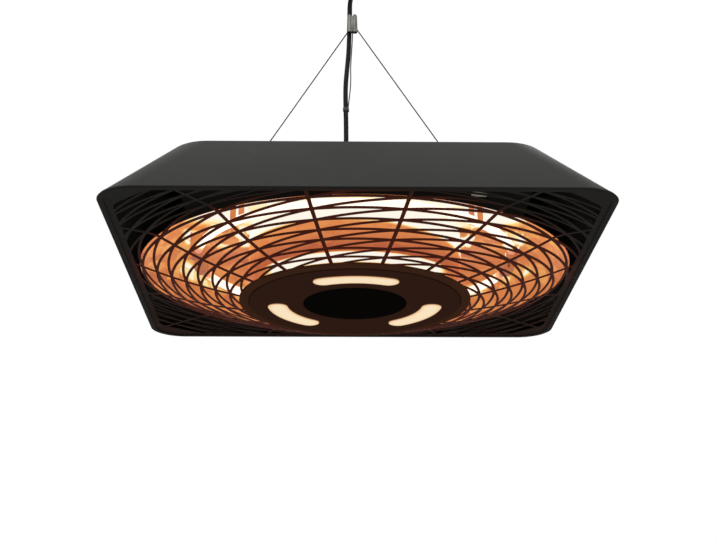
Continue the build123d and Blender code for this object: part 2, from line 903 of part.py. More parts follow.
# Canopy
def ceiling_plate():
    plate = post(plate_radius, ceiling_height - plate_thickness, plate_thickness)
    for side in (-1, 1):
        hole = Cylinder(plate_hole_radius, 3 * ceiling_height)
        plate -= at(side * plate_hole_spacing / 2, 0, 0) * hole
        tab_bottom = ceiling_height - plate_thickness - canopy_tab_height
        plate += block(12, 2, canopy_tab_height, 0, side * (plate_radius - 1.5), tab_bottom)
    return plate


def canopy_cup():
    cup = post(canopy_radius, canopy_bottom, canopy_height)
    cup = chamfer(cup.faces().sort_by(Axis.Z)[0].edges(), canopy_edge)
    hollow = post(canopy_radius - canopy_wall, canopy_bottom + canopy_wall, canopy_height)
    cup -= chamfer(hollow.faces().sort_by(Axis.Z)[0].edges(), canopy_edge - canopy_wall / 2)
    cup -= at(0, -hook_bend_radius, 0) * through(hook_rod_radius + canopy_hole_gap)
    cup -= at(0, boot_y, 0) * through(boot_neck_radius + nut_gap)
    screw_height = ceiling_height - plate_thickness - canopy_tab_height / 2
    for side in (-1, 1):
        start = (0, side * (canopy_radius - 2 * canopy_wall), screw_height)
        end = (0, side * (canopy_radius + canopy_wall), screw_height)
        cup -= rod(start, end, canopy_screw_radius + nut_gap)
    return cup


def canopy_screws():
    height = ceiling_height - plate_thickness - canopy_tab_height / 2
    start = plate_radius - 0.4
    screws = []
    for side in (-1, 1):
        shank = rod((0, side * start, height), (0, side * canopy_radius, height), canopy_screw_radius)
        head_end = side * (canopy_radius + canopy_screw_head_height)
        head = rod((0, side * canopy_radius, height), (0, head_end, height), canopy_screw_head)
        screws.append(shank + head)
    return Compound(screws)


def cable_boot():
    taper = math.degrees(math.atan((boot_top_radius - boot_bottom_radius) / boot_length))
    body = extrude(disc(boot_bottom_radius), boot_length, taper=-taper)
    body = at(0, 0, canopy_bottom - boot_length) * body
    body += post(boot_neck_radius, canopy_bottom, canopy_wall)
    body += post(boot_flange_radius, canopy_bottom + canopy_wall, boot_flange_height)
    return at(0, boot_y, 0) * (body - through(boot_bore))


def canopy_terminal():
    length, width, height = canopy_terminal_size
    x = canopy_terminal_x + length / 2
    return block(length, width, height, x, boot_y, ceiling_height - plate_thickness - height)


def canopy_lead():
    start = Vector(0, boot_y, cable_head + canopy_lead_gap)
    corner = Vector(0, boot_y, canopy_lead_height)
    end = Vector(canopy_terminal_x, boot_y, canopy_lead_height)
    return bent([start, *rounded_corner(start, corner, end, canopy_lead_bend), end], cable_radius)


# Cable gland
def gland_body():
    body = hexagon(gland_flats, housing_height, gland_hex_height)
    body += post(gland_thread_radius, housing_height - gland_thread_length, gland_thread_length)
    return at(gland_x, 0, 0) * (body - through(gland_bore))


def gland_nut():
    body = post(gland_nut_radius, housing_height + gland_hex_height, gland_nut_height)
    body = chamfer(body.faces().sort_by(Axis.Z)[-1].edges(), gland_nut_edge)
    return at(gland_x, 0, 0) * (body - through(gland_bore))


def gland_lock_nut():
    body = hexagon(gland_flats + 2, roof_underside - gland_lock_height, gland_lock_height)
    return at(gland_x, 0, 0) * (body - through(gland_thread_radius + nut_gap))


# Cords: straight runs joined by arcs as large as their runs allow
cable_route = [
    (gland_x, 0, cable_foot),
    (-8.9, 0.6, 135),
    (-8.5, 1.6, 178),
    (-8.4, 3.4, 216),
    (-9.2, 5.4, 250),
    (-9.3, 7.4, 278),
    (-7.2, 8.8, 304),
    (-4.9, 9.2, 330),
    (-3.9, 9.0, 360),
    (-3.1, 9.6, 392),
    (-2.0, 14.0, 411),
    (0, boot_y, 427),
    (0, boot_y, cable_head),
]
tail_route = [
    (0.5, 2.0, gripper_bottom + mouth_depth - 1),
    (0.3, 3.2, 348),
    (-0.6, 4.6, 334),
    (-1.6, 6.0, 318),
    (-2.2, 7.3, 303),
    (-1.8, 7.6, 288),
    (-2.8, 6.8, 270),
    (-4.6, 5.8, 255),
    (-4.8, 5.0, 241),
    (-4.5, 4.6, 232),
]


def cord(name, route, radius, sides):
    """A round cord along a route; prints the radius of each of its bends."""
    points = [Vector(*p) for p in route]
    radii = []
    for before, corner, after in zip(points, points[1:], points[2:]):
        turn = (corner - before).get_angle(after - corner)
        shorter = min((corner - before).length, (after - corner).length)
        radii.append(0.45 * shorter / math.tan(math.radians(turn / 2)))
    print(name, "bend radii", [round(r) for r in radii])
    path = FilletPolyline(*route, radius=radii)
    print(name, "length", round(path.length, 1))
    return swept(path, radius, sides)


def cable_tie():
    """A band round the cable and the loose wire tail, with its small head."""
    low, high = cable_route[3], cable_route[4]
    share = (tie_height - low[2]) / (high[2] - low[2])
    cable_x = low[0] + (high[0] - low[0]) * share
    cable_y = low[1] + (high[1] - low[1]) * share
    tail_x, tail_y, _ = tail_route[-2]

    def band(extra):
        rounds = at(cable_x, cable_y, 0) * disc(cable_radius + extra)
        rounds += at(tail_x, tail_y, 0) * disc(wire_radius + extra)
        return extrude(make_hull(rounds.edges()), tie_width)

    body = band(tie_gap + tie_wall) - band(tie_gap)
    head_x = tail_x + wire_radius + tie_gap + tie_wall + tie_head[0] / 3
    head = block(*tie_head, tie_width, head_x, tail_y)
    return at(0, 0, tie_height - tie_width / 2) * (body + head)


def save(name, shape):
    """Writes one sub-part, moved so that the ceiling face is the origin."""
    export_step(at(0, 0, -ceiling_height) * shape, f"parts/{name}.step")


os.makedirs("parts", exist_ok=True)
save("housing_shell", heater(housing_shell()))
save("grille", heater(grille()))
save("grille_clips", heater(grille_clips()))
save("hub_drum", heater(hub_drum()))
save("centre_collar", heater(centre_collar()))
save("light_cover", heater(light_cover()))
save("led_diffusers", heater(led_diffusers()))
save("led_boards", heater(led_boards()))
save("centre_cap", heater(centre_cap()))
save("receiver_board", heater(receiver_board()))
save("reflector_dish", heater(reflector_dish()))
save("heat_shield", heater(heat_shield()))
floor_top = reflector_floor_height + reflector_thickness
save("lower_standoffs", heater(standoffs(floor_top, shield_height)))
save("upper_standoffs", heater(standoffs(shield_top, roof_underside)))
save("heating_lamp_front", heater(heating_lamp(0)))
save("heating_lamp_back", heater(heating_lamp(180)))
save("filament_front", heater(filament(0)))
save("filament_back", heater(filament(180)))
save("lamp_ends", heater(lamp_ends()))
save("lamp_holders", heater(lamp_holders()))
save("lamp_clips", heater(lamp_clips()))
save("internal_leads", heater(internal_leads()))
save("control_box", heater(control_box()))
save("control_box_lid", heater(control_box_lid()))
save("control_board", heater(control_board()))
save("terminal_block", heater(terminal_block()))
save("thermal_cutout", heater(thermal_cutout()))
save("earth_stud", heater(earth_stud()))
save("earth_nut", heater(earth_nut()))
save("cord_grip", heater(cord_grip()))
save("inner_cable", heater(inner_cable()))
save("gland_body", gland_body())
save("gland_nut", gland_nut())
save("gland_lock_nut", gland_lock_nut())
save("anchor_blocks", Compound([anchor_block(-1), anchor_block(1)]))
save("anchor_nuts", anchor_nuts())
save("bridle_barrel_ends", barrel_ends())
save("left_bridle_wire", bridle_wire(-1))
save("right_bridle_wire", bridle_wire(1))
save("gripper_body", gripper_body())
save("left_release_nipple", release_nipple(-1))
save("right_release_nipple", release_nipple(1))
save("suspension_wire", suspension_wire())
save("loop_ferrule", loop_ferrule())
save("wire_tail", cord("wire tail", tail_route, wire_radius, 6))
save("cable_tie", cable_tie())
save("power_cable", cord("power cable", cable_route, cable_radius, 12))
save("ceiling_hook", ceiling_hook())
save("hook_nut", hook_nut())
save("ceiling_plate", ceiling_plate())
save("canopy_cup", canopy_cup())
save("canopy_screws", canopy_screws())
save("cable_boot", cable_boot())
save("canopy_terminal", canopy_terminal())
save("canopy_lead", canopy_lead())
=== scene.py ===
import json
import math

import bmesh
import bpy
from mathutils import Matrix, Vector

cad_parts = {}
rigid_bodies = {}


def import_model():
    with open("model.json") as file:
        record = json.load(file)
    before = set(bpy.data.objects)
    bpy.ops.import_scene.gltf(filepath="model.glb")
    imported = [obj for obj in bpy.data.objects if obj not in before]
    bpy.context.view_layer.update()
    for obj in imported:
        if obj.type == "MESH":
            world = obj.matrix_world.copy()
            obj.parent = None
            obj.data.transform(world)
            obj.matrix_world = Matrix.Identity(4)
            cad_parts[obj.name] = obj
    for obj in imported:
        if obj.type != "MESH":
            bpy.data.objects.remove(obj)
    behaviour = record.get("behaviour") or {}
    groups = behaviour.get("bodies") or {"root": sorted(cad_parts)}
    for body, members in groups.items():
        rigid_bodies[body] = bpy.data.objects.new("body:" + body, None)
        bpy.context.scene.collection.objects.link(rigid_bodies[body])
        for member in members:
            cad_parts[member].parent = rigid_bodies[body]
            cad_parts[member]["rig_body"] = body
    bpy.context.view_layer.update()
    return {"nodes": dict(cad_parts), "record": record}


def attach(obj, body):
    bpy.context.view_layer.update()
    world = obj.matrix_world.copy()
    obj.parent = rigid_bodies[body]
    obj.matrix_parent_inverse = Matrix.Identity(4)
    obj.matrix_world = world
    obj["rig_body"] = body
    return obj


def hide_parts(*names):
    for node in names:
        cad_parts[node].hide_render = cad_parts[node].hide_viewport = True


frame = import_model()

# Sizes of the heater in millimetres, heights measured from the rim of its housing
CEILING = 482.0
HEATER_X = 3.0
RIM_HALF = 300.0
ROOF_HALF = 225.0
ROOF_HEIGHT = 89.4
CORNER = 48.0
FLANGE = 8.0
WALL = 1.2
SPHERE = 799.82
SPHERE_CENTRE = 748.52
DOME_RADIUS = 285.0
HUB_RADIUS = 141.0
SPOKES = 15
FIRST_SPOKE = 12.0
FIRST_RING = 144.0
RING_PITCH = 19.0
SPOKE_WIDTH = 4.5
LINE_WIDTH = 3.2
SLOT_LIMIT = 284.0
SLOT_CORNER = 60.0
LAMP_CIRCLE = 207.0
LAMP_HEIGHT = 18.0
TUBE_HALF_ANGLE = 78.6
COIL_HALF_ANGLE = 74.0
COIL_RADIUS = 1.4
COVER_BOTTOM = -42.2
MOUTH_NARROWING = 0.038
LIGHT_CIRCLE = 102.0
LIGHT_HALF_WIDTH = 13.2
LIGHT_HALF_ANGLE = 31.0
DISC_RADIUS = 138.1
CAP_HOLE = 67.6
SMALLEST_SLOT = 60.0
GLAND_X = -8.8
GLAND_WIDTH = 22.0
GLAND_BORE = 5.3
BOOT_Y = 20.0
TIE_BOTTOM = 238.6
TIE_WIDTH = 4.8
CABLE_RADIUS = 3.3
WIRE_RADIUS = 0.75
STRAND_RADIUS = 0.29
STRAND_LAY_RADIUS = 0.57
ANCHOR_REACH = 172.0
ANCHOR_HEIGHT = 100.0
BARREL_X = 3.6
LOOP_RADIUS = 3.1
LOOP_HEIGHT = 440.0
HOOK_RADIUS = 8.0
HOOK_HEIGHT = 448.0
CUP_RADIUS = 60.0
CUP_BOTTOM = 457.0
CUP_EDGE = 5.0

# The camera's picture, in pixels, and its sensor in millimetres
PHOTO_WIDTH = 716.0
FOCAL_PIXELS = 1376.0
SENSOR = 36.0


def linked(name, data):
    """An object with this data, placed in the scene."""
    thing = bpy.data.objects.new(name, data)
    bpy.context.scene.collection.objects.link(thing)
    return thing


# Camera
camera_data = bpy.data.cameras.new("camera")
camera = linked("camera", camera_data)
bpy.context.scene.camera = camera
camera_data.lens = FOCAL_PIXELS / PHOTO_WIDTH * SENSOR
camera_data.sensor_width = SENSOR
camera.matrix_world = (
    Matrix.Translation((-0.02654, -1.71865, -1.06991))
    @ Matrix.Rotation(math.radians(-1.126), 4, "Z")
    @ Matrix.Rotation(math.radians(109.035), 4, "X")
    @ Matrix.Rotation(math.radians(-0.159), 4, "Z")
)


# Shared shader groups
def new_group(name, inputs, outputs):
    """A shader group with float inputs and float or colour outputs, and its two end nodes."""
    group = bpy.data.node_groups.new(name, "ShaderNodeTree")
    for label, value in inputs:
        socket = group.interface.new_socket(label, in_out="INPUT", socket_type="NodeSocketFloat")
        socket.default_value = value
    for label in outputs:
        kind = "NodeSocketColor" if label == "Colour" else "NodeSocketFloat"
        group.interface.new_socket(label, in_out="OUTPUT", socket_type=kind)
    start = group.nodes.new("NodeGroupInput")
    end = group.nodes.new("NodeGroupOutput")
    return group, start, end


def feed(tree, socket, value):
    """Gives an input a number, an sRGB colour or another node's output."""
    if isinstance(value, bpy.types.NodeSocket):
        tree.links.new(value, socket)
    else:
        is_colour = isinstance(value, tuple)
        socket.default_value = tone(value)[: len(socket.default_value)] if is_colour else value


def place_group(tree, group, **values):
    node = tree.nodes.new("ShaderNodeGroup")
    node.node_tree = group
    for label, value in values.items():
        feed(tree, node.inputs[label.replace("_", " ")], value)
    return node


def math_node(tree, operation, *values, clamp=False):
    """One Math node; each value is a number or an output socket."""
    node = tree.nodes.new("ShaderNodeMath")
    node.operation = operation
    node.use_clamp = clamp
    for socket, value in zip(node.inputs, values):
        feed(tree, socket, value)
    return node.outputs[0]


def noise_node(tree, vector, scale, detail=4.0, roughness=0.55, stretch=None):
    """A noise value on the given coordinates, stretched along an axis where asked."""
    if stretch:
        mapping = tree.nodes.new("ShaderNodeMapping")
        mapping.inputs["Scale"].default_value = stretch
        tree.links.new(vector, mapping.inputs["Vector"])
        vector = mapping.outputs["Vector"]
    node = tree.nodes.new("ShaderNodeTexNoise")
    node.inputs["Detail"].default_value = detail
    node.inputs["Roughness"].default_value = roughness
    tree.links.new(vector, node.inputs["Vector"])
    feed(tree, node.inputs["Scale"], scale)
    return node.outputs["Fac"]


def range_node(tree, value, low, high, to_low, to_high):
    """A value moved smoothly from one range to another."""
    node = tree.nodes.new("ShaderNodeMapRange")
    node.interpolation_type = "SMOOTHSTEP"
    tree.links.new(value, node.inputs["Value"])
    for label, number in (("From Min", low), ("From Max", high), ("To Min", to_low), ("To Max", to_high)):
        node.inputs[label].default_value = number
    return node.outputs["Result"]


def ramp_node(tree, value, stops):
    """A colour ramp with the given (place, sRGB colour) stops."""
    node = tree.nodes.new("ShaderNodeValToRGB")
    ramp = node.color_ramp
    ramp.elements[0].position, ramp.elements[0].color = stops[0][0], tone(stops[0][1])
    ramp.elements[1].position, ramp.elements[1].color = stops[-1][0], tone(stops[-1][1])
    for place, colour in stops[1:-1]:
        ramp.elements.new(place).color = tone(colour)
    tree.links.new(value, node.inputs["Fac"])
    return node.outputs["Color"]


def tone(rgb):
    """A colour read as 0-255 sRGB, made linear."""
    parts = [c / 255.0 for c in rgb]
    return tuple(c / 12.92 if c <= 0.04045 else ((c + 0.055) / 1.055) ** 2.4 for c in parts) + (1.0,)


def object_coords(tree):
    return tree.nodes.new("ShaderNodeTexCoord").outputs["Object"]


def mix_colours(tree, share, low, high):
    """A blend of two colours by a share; each colour is an sRGB triple or an output socket."""
    node = tree.nodes.new("ShaderNodeMix")
    node.data_type = "RGBA"
    sockets = [s for s in node.inputs if s.type == "RGBA"]
    for socket, value in zip([node.inputs["Factor"], *sockets], (share, low, high)):
        feed(tree, socket, value)
    return [s for s in node.outputs if s.type == "RGBA"][0]


def make_coat_grain():
    """Fine grain of stoved enamel and moulded plastic: small bumps, faint mottling and rubbed patches."""
    inputs = [("Grain size", 900.0), ("Mottling", 0.08), ("Rubbing", 0.1)]
    group, start, end = new_group("coat_grain", inputs, ["Shade", "Roughness shift", "Height"])
    where = object_coords(group)
    fine = noise_node(group, where, start.outputs["Grain size"], detail=3.0)
    cloud = noise_node(group, where, 9.0, detail=5.0)
    handled = noise_node(group, where, 26.0, detail=6.0, stretch=(1.0, 1.0, 0.35))
    rub = range_node(group, handled, 0.52, 0.72, 0.0, 1.0)
    uneven = math_node(group, "SUBTRACT", cloud, 0.5)
    shade = math_node(group, "MULTIPLY_ADD", uneven, start.outputs["Mottling"], 1.0)
    shift = math_node(group, "MULTIPLY", rub, start.outputs["Rubbing"])
    for socket, value in zip(end.inputs, (shade, shift, fine)):
        feed(group, socket, value)
    return group


def make_metal_lines():
    """Drawing lines and tarnish of bare metal."""
    inputs = [("Line scale", 400.0), ("Tarnish", 0.25)]
    group, start, end = new_group("metal_lines", inputs, ["Shade", "Roughness shift", "Height"])
    where = object_coords(group)
    lines = noise_node(group, where, start.outputs["Line scale"], detail=2.0, stretch=(1.0, 1.0, 0.04))
    stain = range_node(group, noise_node(group, where, 60.0, detail=6.0), 0.45, 0.75, 0.0, 1.0)
    darkening = math_node(group, "MULTIPLY", start.outputs["Tarnish"], -1.0)
    shade = math_node(group, "MULTIPLY_ADD", stain, darkening, 1.0)
    shift = math_node(group, "MULTIPLY_ADD", lines, 0.18, math_node(group, "MULTIPLY", stain, 0.12))
    for socket, value in zip(end.inputs, (shade, shift, lines)):
        feed(group, socket, value)
    return group


def make_ring_place():
    """Where a point lies round the heater's centre: radius, angle from the front and height, in millimetres."""
    group, start, end = new_group("ring_place", [], ["Radius", "Angle", "Height"])
    split = group.nodes.new("ShaderNodeSeparateXYZ")
    group.links.new(object_coords(group), split.inputs[0])
    x = math_node(group, "SUBTRACT", split.outputs["X"], HEATER_X / 1000.0)
    y = split.outputs["Y"]
    squares = math_node(group, "ADD", math_node(group, "MULTIPLY", x, x), math_node(group, "MULTIPLY", y, y))
    radius = math_node(group, "MULTIPLY", math_node(group, "SQRT", squares), 1000.0)
    sideways = math_node(group, "MULTIPLY", x, -1.0)
    forward = math_node(group, "MULTIPLY", y, -1.0)
    angle = math_node(group, "MULTIPLY", math_node(group, "ARCTAN2", sideways, forward), 180.0 / math.pi)
    height = math_node(group, "MULTIPLY_ADD", split.outputs["Z"], 1000.0, CEILING)
    for socket, value in zip(end.inputs, (radius, angle, height)):
        feed(group, socket, value)
    return group


def make_painted_light_tone(ring_place):
    """The colour of lamplight on thin crinkled metal, from dull brown at 0 to white at 1."""
    group, start, end = new_group("painted_light_tone", [("Heat", 0.5), ("Facets", 0.1)], ["Colour", "Height"])
    place = place_group(group, ring_place)
    around = group.nodes.new("ShaderNodeCombineXYZ")
    for socket, label, size in (("X", "Radius", 24.0), ("Y", "Angle", 5.5), ("Z", "Height", 13.0)):
        group.links.new(math_node(group, "DIVIDE", place.outputs[label], size), around.inputs[socket])
    shards = group.nodes.new("ShaderNodeTexVoronoi")
    shards.inputs["Scale"].default_value = 1.0
    group.links.new(around.outputs[0], shards.inputs["Vector"])
    split = group.nodes.new("ShaderNodeSeparateColor")
    group.links.new(shards.outputs["Color"], split.inputs[0])
    soft = noise_node(group, around.outputs[0], 1.6, detail=4.0, roughness=0.6)
    uneven = math_node(group, "SUBTRACT", math_node(group, "ADD", split.outputs[0], soft), 1.0)
    painted_light = math_node(group, "MULTIPLY_ADD", uneven, start.outputs["Facets"], start.outputs["Heat"], clamp=True)
    stops = [
        (0.0, (40, 14, 8)),
        (0.2, (112, 48, 30)),
        (0.4, (178, 88, 54)),
        (0.58, (222, 134, 74)),
        (0.72, (246, 186, 100)),
        (0.84, (255, 236, 176)),
        (0.93, (255, 250, 236)),
    ]
    feed(group, end.inputs["Colour"], ramp_node(group, painted_light, stops))
    feed(group, end.inputs["Height"], split.outputs[0])
    return group


coat_grain = make_coat_grain()
metal_lines = make_metal_lines()
ring_place = make_ring_place()
painted_light_tone = make_painted_light_tone(ring_place)


# Materials
finishes = {}


def new_finish(name, roughness, metallic=0.0, gloss=0.5):
    """A new material, kept by its name, with its shader's own sockets set; returns its tree and its shader."""
    finishes[name] = bpy.data.materials.new(name)
    finishes[name].use_nodes = True
    tree = finishes[name].node_tree
    shader = tree.nodes["Principled BSDF"]
    shader.inputs["Roughness"].default_value = roughness
    shader.inputs["Metallic"].default_value = metallic
    shader.inputs["Specular IOR Level"].default_value = gloss
    return tree, shader


def bump(tree, shader, height, strength, distance):
    node = tree.nodes.new("ShaderNodeBump")
    node.inputs["Strength"].default_value = strength
    node.inputs["Distance"].default_value = distance
    tree.links.new(height, node.inputs["Height"])
    tree.links.new(node.outputs["Normal"], shader.inputs["Normal"])


def paint(tree, shader, colour, shade=None):
    """Gives a shader its colour, made lighter or darker by a shade value where there is one."""
    if shade is not None:
        node = tree.nodes.new("ShaderNodeVectorMath")
        node.operation = "SCALE"
        feed(tree, node.inputs[0], colour)
        feed(tree, node.inputs["Scale"], shade)
        colour = node.outputs[0]
    feed(tree, shader.inputs["Base Color"], colour)


def shine(tree, shader, colour, strength=1.0):
    """Gives a shader its own light, which stands for the light that it gives or reflects."""
    feed(tree, shader.inputs["Emission Color"], colour)
    shader.inputs["Emission Strength"].default_value = strength


def marked(tree, shader, marks, colour, roughness, strength, depth):
    """Gives a shader a colour and a roughness with the marks of a shared group on them."""
    paint(tree, shader, colour, marks.outputs["Shade"])
    rough = math_node(tree, "ADD", marks.outputs["Roughness shift"], roughness)
    feed(tree, shader.inputs["Roughness"], rough)
    bump(tree, shader, marks.outputs["Height"], strength, depth)


def coated(
    name, colour, roughness, gloss=0.3, grain=900.0, depth=0.0001, mottling=0.12, rubbing=-0.12, dim=None
):
    """Enamel, plastic, rubber or ceramic; dim is the faint light that reaches it inside the housing."""
    tree, shader = new_finish(name, roughness, 0.0, gloss)
    marks = place_group(tree, coat_grain, Grain_size=grain, Mottling=mottling, Rubbing=rubbing)
    marked(tree, shader, marks, colour, roughness, 0.35, depth)
    if dim:
        shine(tree, shader, dim)


def bare_metal(name, colour, roughness, lines=400.0, tarnish=0.25):
    """Bare or plated metal with drawing lines and a little tarnish."""
    tree, shader = new_finish(name, roughness, 1.0)
    marks = place_group(tree, metal_lines, Line_scale=lines, Tarnish=tarnish)
    marked(tree, shader, marks, colour, roughness, 0.25, 0.00005)


def stranded(name, colour):
    """Dull drawn steel strands."""
    tree, shader = new_finish(name, 0.5, 0.5, 0.2)
    marks = place_group(tree, metal_lines, Line_scale=900.0, Tarnish=0.4)
    marked(tree, shader, marks, colour, 0.45, 0.3, 0.00005)


def grille_coat():
    """Black enamel with the lamps' glow painted on: browner over the glowing middle and towards the back, with
    a faint red glow of its own out to the reflector's mouth.
    """
    tree, shader = new_finish("grille_enamel", 0.6, 0.0, 0.02)
    place = place_group(tree, ring_place)
    # Painted glow: the brown over the middle and towards the back stands for lamplight on the black enamel.
    middle = range_node(tree, place.outputs["Radius"], 250.0, 330.0, 1.0, 0.0)
    away = math_node(tree, "ABSOLUTE", place.outputs["Angle"])
    painted_glow_tint = math_node(tree, "MAXIMUM", middle, range_node(tree, away, 85.0, 130.0, 0.0, 0.9))
    colour = mix_colours(tree, painted_glow_tint, (42, 41, 38), (46, 26, 18))
    marks = place_group(tree, coat_grain, Grain_size=800.0, Mottling=0.2, Rubbing=-0.1)
    marked(tree, shader, marks, colour, 0.6, 0.3, 0.0001)
    # Painted glow: a faint red light of the grille's own, inside the reflector's mouth.
    glow = range_node(tree, place.outputs["Radius"], 270.0, 300.0, 1.0, 0.0)
    shine(tree, shader, mix_colours(tree, glow, (0, 0, 0), (50, 14, 7)))


def lit_metal(name, painted_light_of, facets, roughness=0.35):
    """Bare metal near the lamps. The lamps' light on it is painted in as its own glow, at a level drawn from
    its place round the centre.
    """
    tree, shader = new_finish(name, roughness, 0.85)
    place = place_group(tree, ring_place)
    painted_light = painted_light_of(tree, place.outputs["Radius"], place.outputs["Angle"], place.outputs["Height"])
    light = place_group(tree, painted_light_tone, Heat=painted_light, Facets=facets)
    marks = place_group(tree, metal_lines, Line_scale=160.0, Tarnish=0.3)
    paint(tree, shader, (70, 52, 44), marks.outputs["Shade"])
    shine(tree, shader, light.outputs["Colour"], 0.95)
    bump(tree, shader, light.outputs["Height"], 0.5, 0.0008)


def both(tree, *shares):
    """Shares multiplied together."""
    result = shares[0]
    for share in shares[1:]:
        result = math_node(tree, "MULTIPLY", result, share)
    return result


def between(tree, value, low, high, soft):
    """1 between two values and 0 outside them, with soft ends."""
    rise = range_node(tree, value, low - soft, low, 0.0, 1.0)
    return both(tree, rise, range_node(tree, value, high, high + soft, 1.0, 0.0))


def dish_painted_light(tree, radius, angle, height):
    """Painted lamplight on the dish: white on the floor before the near lamp, streaked beside the lamp ends,
    orange round the back.
    """
    away = math_node(tree, "ABSOLUTE", angle)
    floor = range_node(tree, height, 42.0, 45.0, 0.0, 1.0)
    lit_streak_noise = noise_node(tree, object_coords(tree), 42.0, detail=3.0, stretch=(1.0, 0.3, 1.0))
    lit_streaks = range_node(tree, lit_streak_noise, 0.47, 0.56, 0.0, 1.0)
    yellowing = range_node(tree, radius, 158.0, 192.0, 0.76, 1.0)
    front = both(tree, floor, range_node(tree, away, 66.0, 78.0, 1.0, 0.0), yellowing)
    inwards = range_node(tree, radius, 160.0, 205.0, 1.0, 0.1)
    inner = both(tree, lit_streaks, between(tree, away, 74.0, 96.0, 7.0), inwards)
    outer = both(tree, lit_streaks, between(tree, away, 82.0, 92.0, 5.0), between(tree, radius, 200.0, 222.0, 8.0))
    lit_blots = range_node(tree, lit_streak_noise, 0.42, 0.56, 0.2, 1.0)
    lit_spots = both(tree, lit_blots, between(tree, height, 29.0, 37.0, 5.0), between(tree, away, 108.0, 142.0, 6.0))
    behind = range_node(tree, away, 98.0, 118.0, 0.0, 1.0)
    deep = both(tree, behind, range_node(tree, radius, 175.0, 225.0, 1.0, 0.0))
    painted_light = math_node(tree, "MULTIPLY_ADD", front, 0.42, 0.55)
    for share, rise in ((inner, 0.42), (outer, 0.4), (lit_spots, 0.3), (deep, -0.09)):
        painted_light = math_node(tree, "MULTIPLY_ADD", share, rise, painted_light)
    return math_node(tree, "ADD", painted_light, range_node(tree, height, 3.0, 14.0, -0.05, 0.0))


def drum_painted_light(tree, radius, angle, height):
    """Painted lamplight on the drum: white level with the lamps, orange to brown below, white again just above
    the collar.
    """
    away = math_node(tree, "ABSOLUTE", angle)
    level = math_node(tree, "MULTIPLY_ADD", angle, -0.11, height)
    top = range_node(tree, level, 20.0, 27.0, 0.0, 1.0)
    middle = range_node(tree, height, -16.0, 20.0, 0.4, 0.58)
    front = range_node(tree, away, 46.0, 58.0, 1.0, 0.1)
    foot = both(tree, between(tree, height, -31.5, -20.0, 3.0), front)
    painted_light = math_node(tree, "MULTIPLY_ADD", top, 0.5, middle)
    painted_light = math_node(tree, "MULTIPLY_ADD", foot, 0.6, painted_light)
    return math_node(tree, "ADD", painted_light, range_node(tree, height, -35.0, -32.0, -0.36, 0.0))


def glowing_wire():
    """White-hot wire, uneven along its length."""
    tree, shader = new_finish("glowing_filament", 0.4)
    uneven = noise_node(tree, object_coords(tree), 120.0, detail=2.0)
    shine(tree, shader, mix_colours(tree, uneven, (255, 224, 160), (255, 252, 240)), 6.0)
    paint(tree, shader, mix_colours(tree, uneven, (255, 170, 90), (255, 210, 150)))


def quartz():
    """Clear quartz, filled with the filament's glare along its lit arc and dim at its two ends."""
    tree, shader = new_finish("quartz_glass", 0.08, 0.0, 0.5)
    place = place_group(tree, ring_place)
    away = math_node(tree, "ABSOLUTE", place.outputs["Angle"])
    off_side = math_node(tree, "ABSOLUTE", math_node(tree, "SUBTRACT", away, 90.0))
    lit = range_node(tree, off_side, 14.0, 19.0, 0.42, 0.97)
    light = place_group(tree, painted_light_tone, Heat=lit, Facets=0.02)
    shine(tree, shader, light.outputs["Colour"])
    smear = noise_node(tree, object_coords(tree), 90.0, detail=3.0)
    paint(tree, shader, mix_colours(tree, smear, (250, 224, 190), (255, 244, 224)))
    feed(tree, shader.inputs["Roughness"], math_node(tree, "MULTIPLY_ADD", smear, 0.12, 0.04))


def diffuser():
    """Frosted warm white lens, brightest along its middle and browner at its edge."""
    tree, shader = new_finish("led_diffuser", 0.5, 0.0, 0.3)
    inside = tree.nodes.new("ShaderNodeAttribute")
    inside.attribute_name = "inside"
    frost = noise_node(tree, object_coords(tree), 700.0, detail=2.0)
    speckle = math_node(tree, "SUBTRACT", frost, 0.5)
    level = math_node(tree, "MULTIPLY_ADD", speckle, 0.08, inside.outputs["Fac"], clamp=True)
    stops = [(0.0, (96, 54, 34)), (0.3, (206, 148, 102)), (0.62, (243, 206, 158)), (1.0, (252, 228, 190))]
    shine(tree, shader, ramp_node(tree, level, stops), 0.92)
    paint(tree, shader, (60, 54, 46), range_node(tree, frost, 0.0, 1.0, 0.8, 1.2))


def ceramic():
    """Unglazed ceramic, with the light of the lamp beside it painted on as a warm glow."""
    tree, shader = new_finish("white_ceramic", 0.75, 0.0, 0.2)
    marks = place_group(tree, coat_grain, Grain_size=500.0, Mottling=0.2, Rubbing=-0.05)
    paint(tree, shader, (150, 138, 122), marks.outputs["Shade"])
    painted_light = math_node(tree, "MULTIPLY_ADD", marks.outputs["Shade"], 0.3, 0.12)
    light = place_group(tree, painted_light_tone, Heat=painted_light, Facets=0.05)
    shine(tree, shader, light.outputs["Colour"], 0.7)
    bump(tree, shader, marks.outputs["Height"], 0.5, 0.0002)


def printed_board():
    """Green circuit board with paler tracks under its lacquer."""
    tree, shader = new_finish("circuit_board", 0.4)
    brick = tree.nodes.new("ShaderNodeTexBrick")
    brick.inputs["Scale"].default_value = 160.0
    brick.inputs["Mortar Size"].default_value = 0.06
    for label, colour in (("Color1", (26, 78, 44)), ("Color2", (20, 66, 38)), ("Mortar", (92, 140, 78))):
        feed(tree, brick.inputs[label], colour)
    feed(tree, brick.inputs["Vector"], object_coords(tree))
    paint(tree, shader, brick.outputs["Color"])
    marks = place_group(tree, coat_grain, Grain_size=1200.0, Mottling=0.1, Rubbing=-0.1)
    bump(tree, shader, marks.outputs["Height"], 0.2, 0.00005)


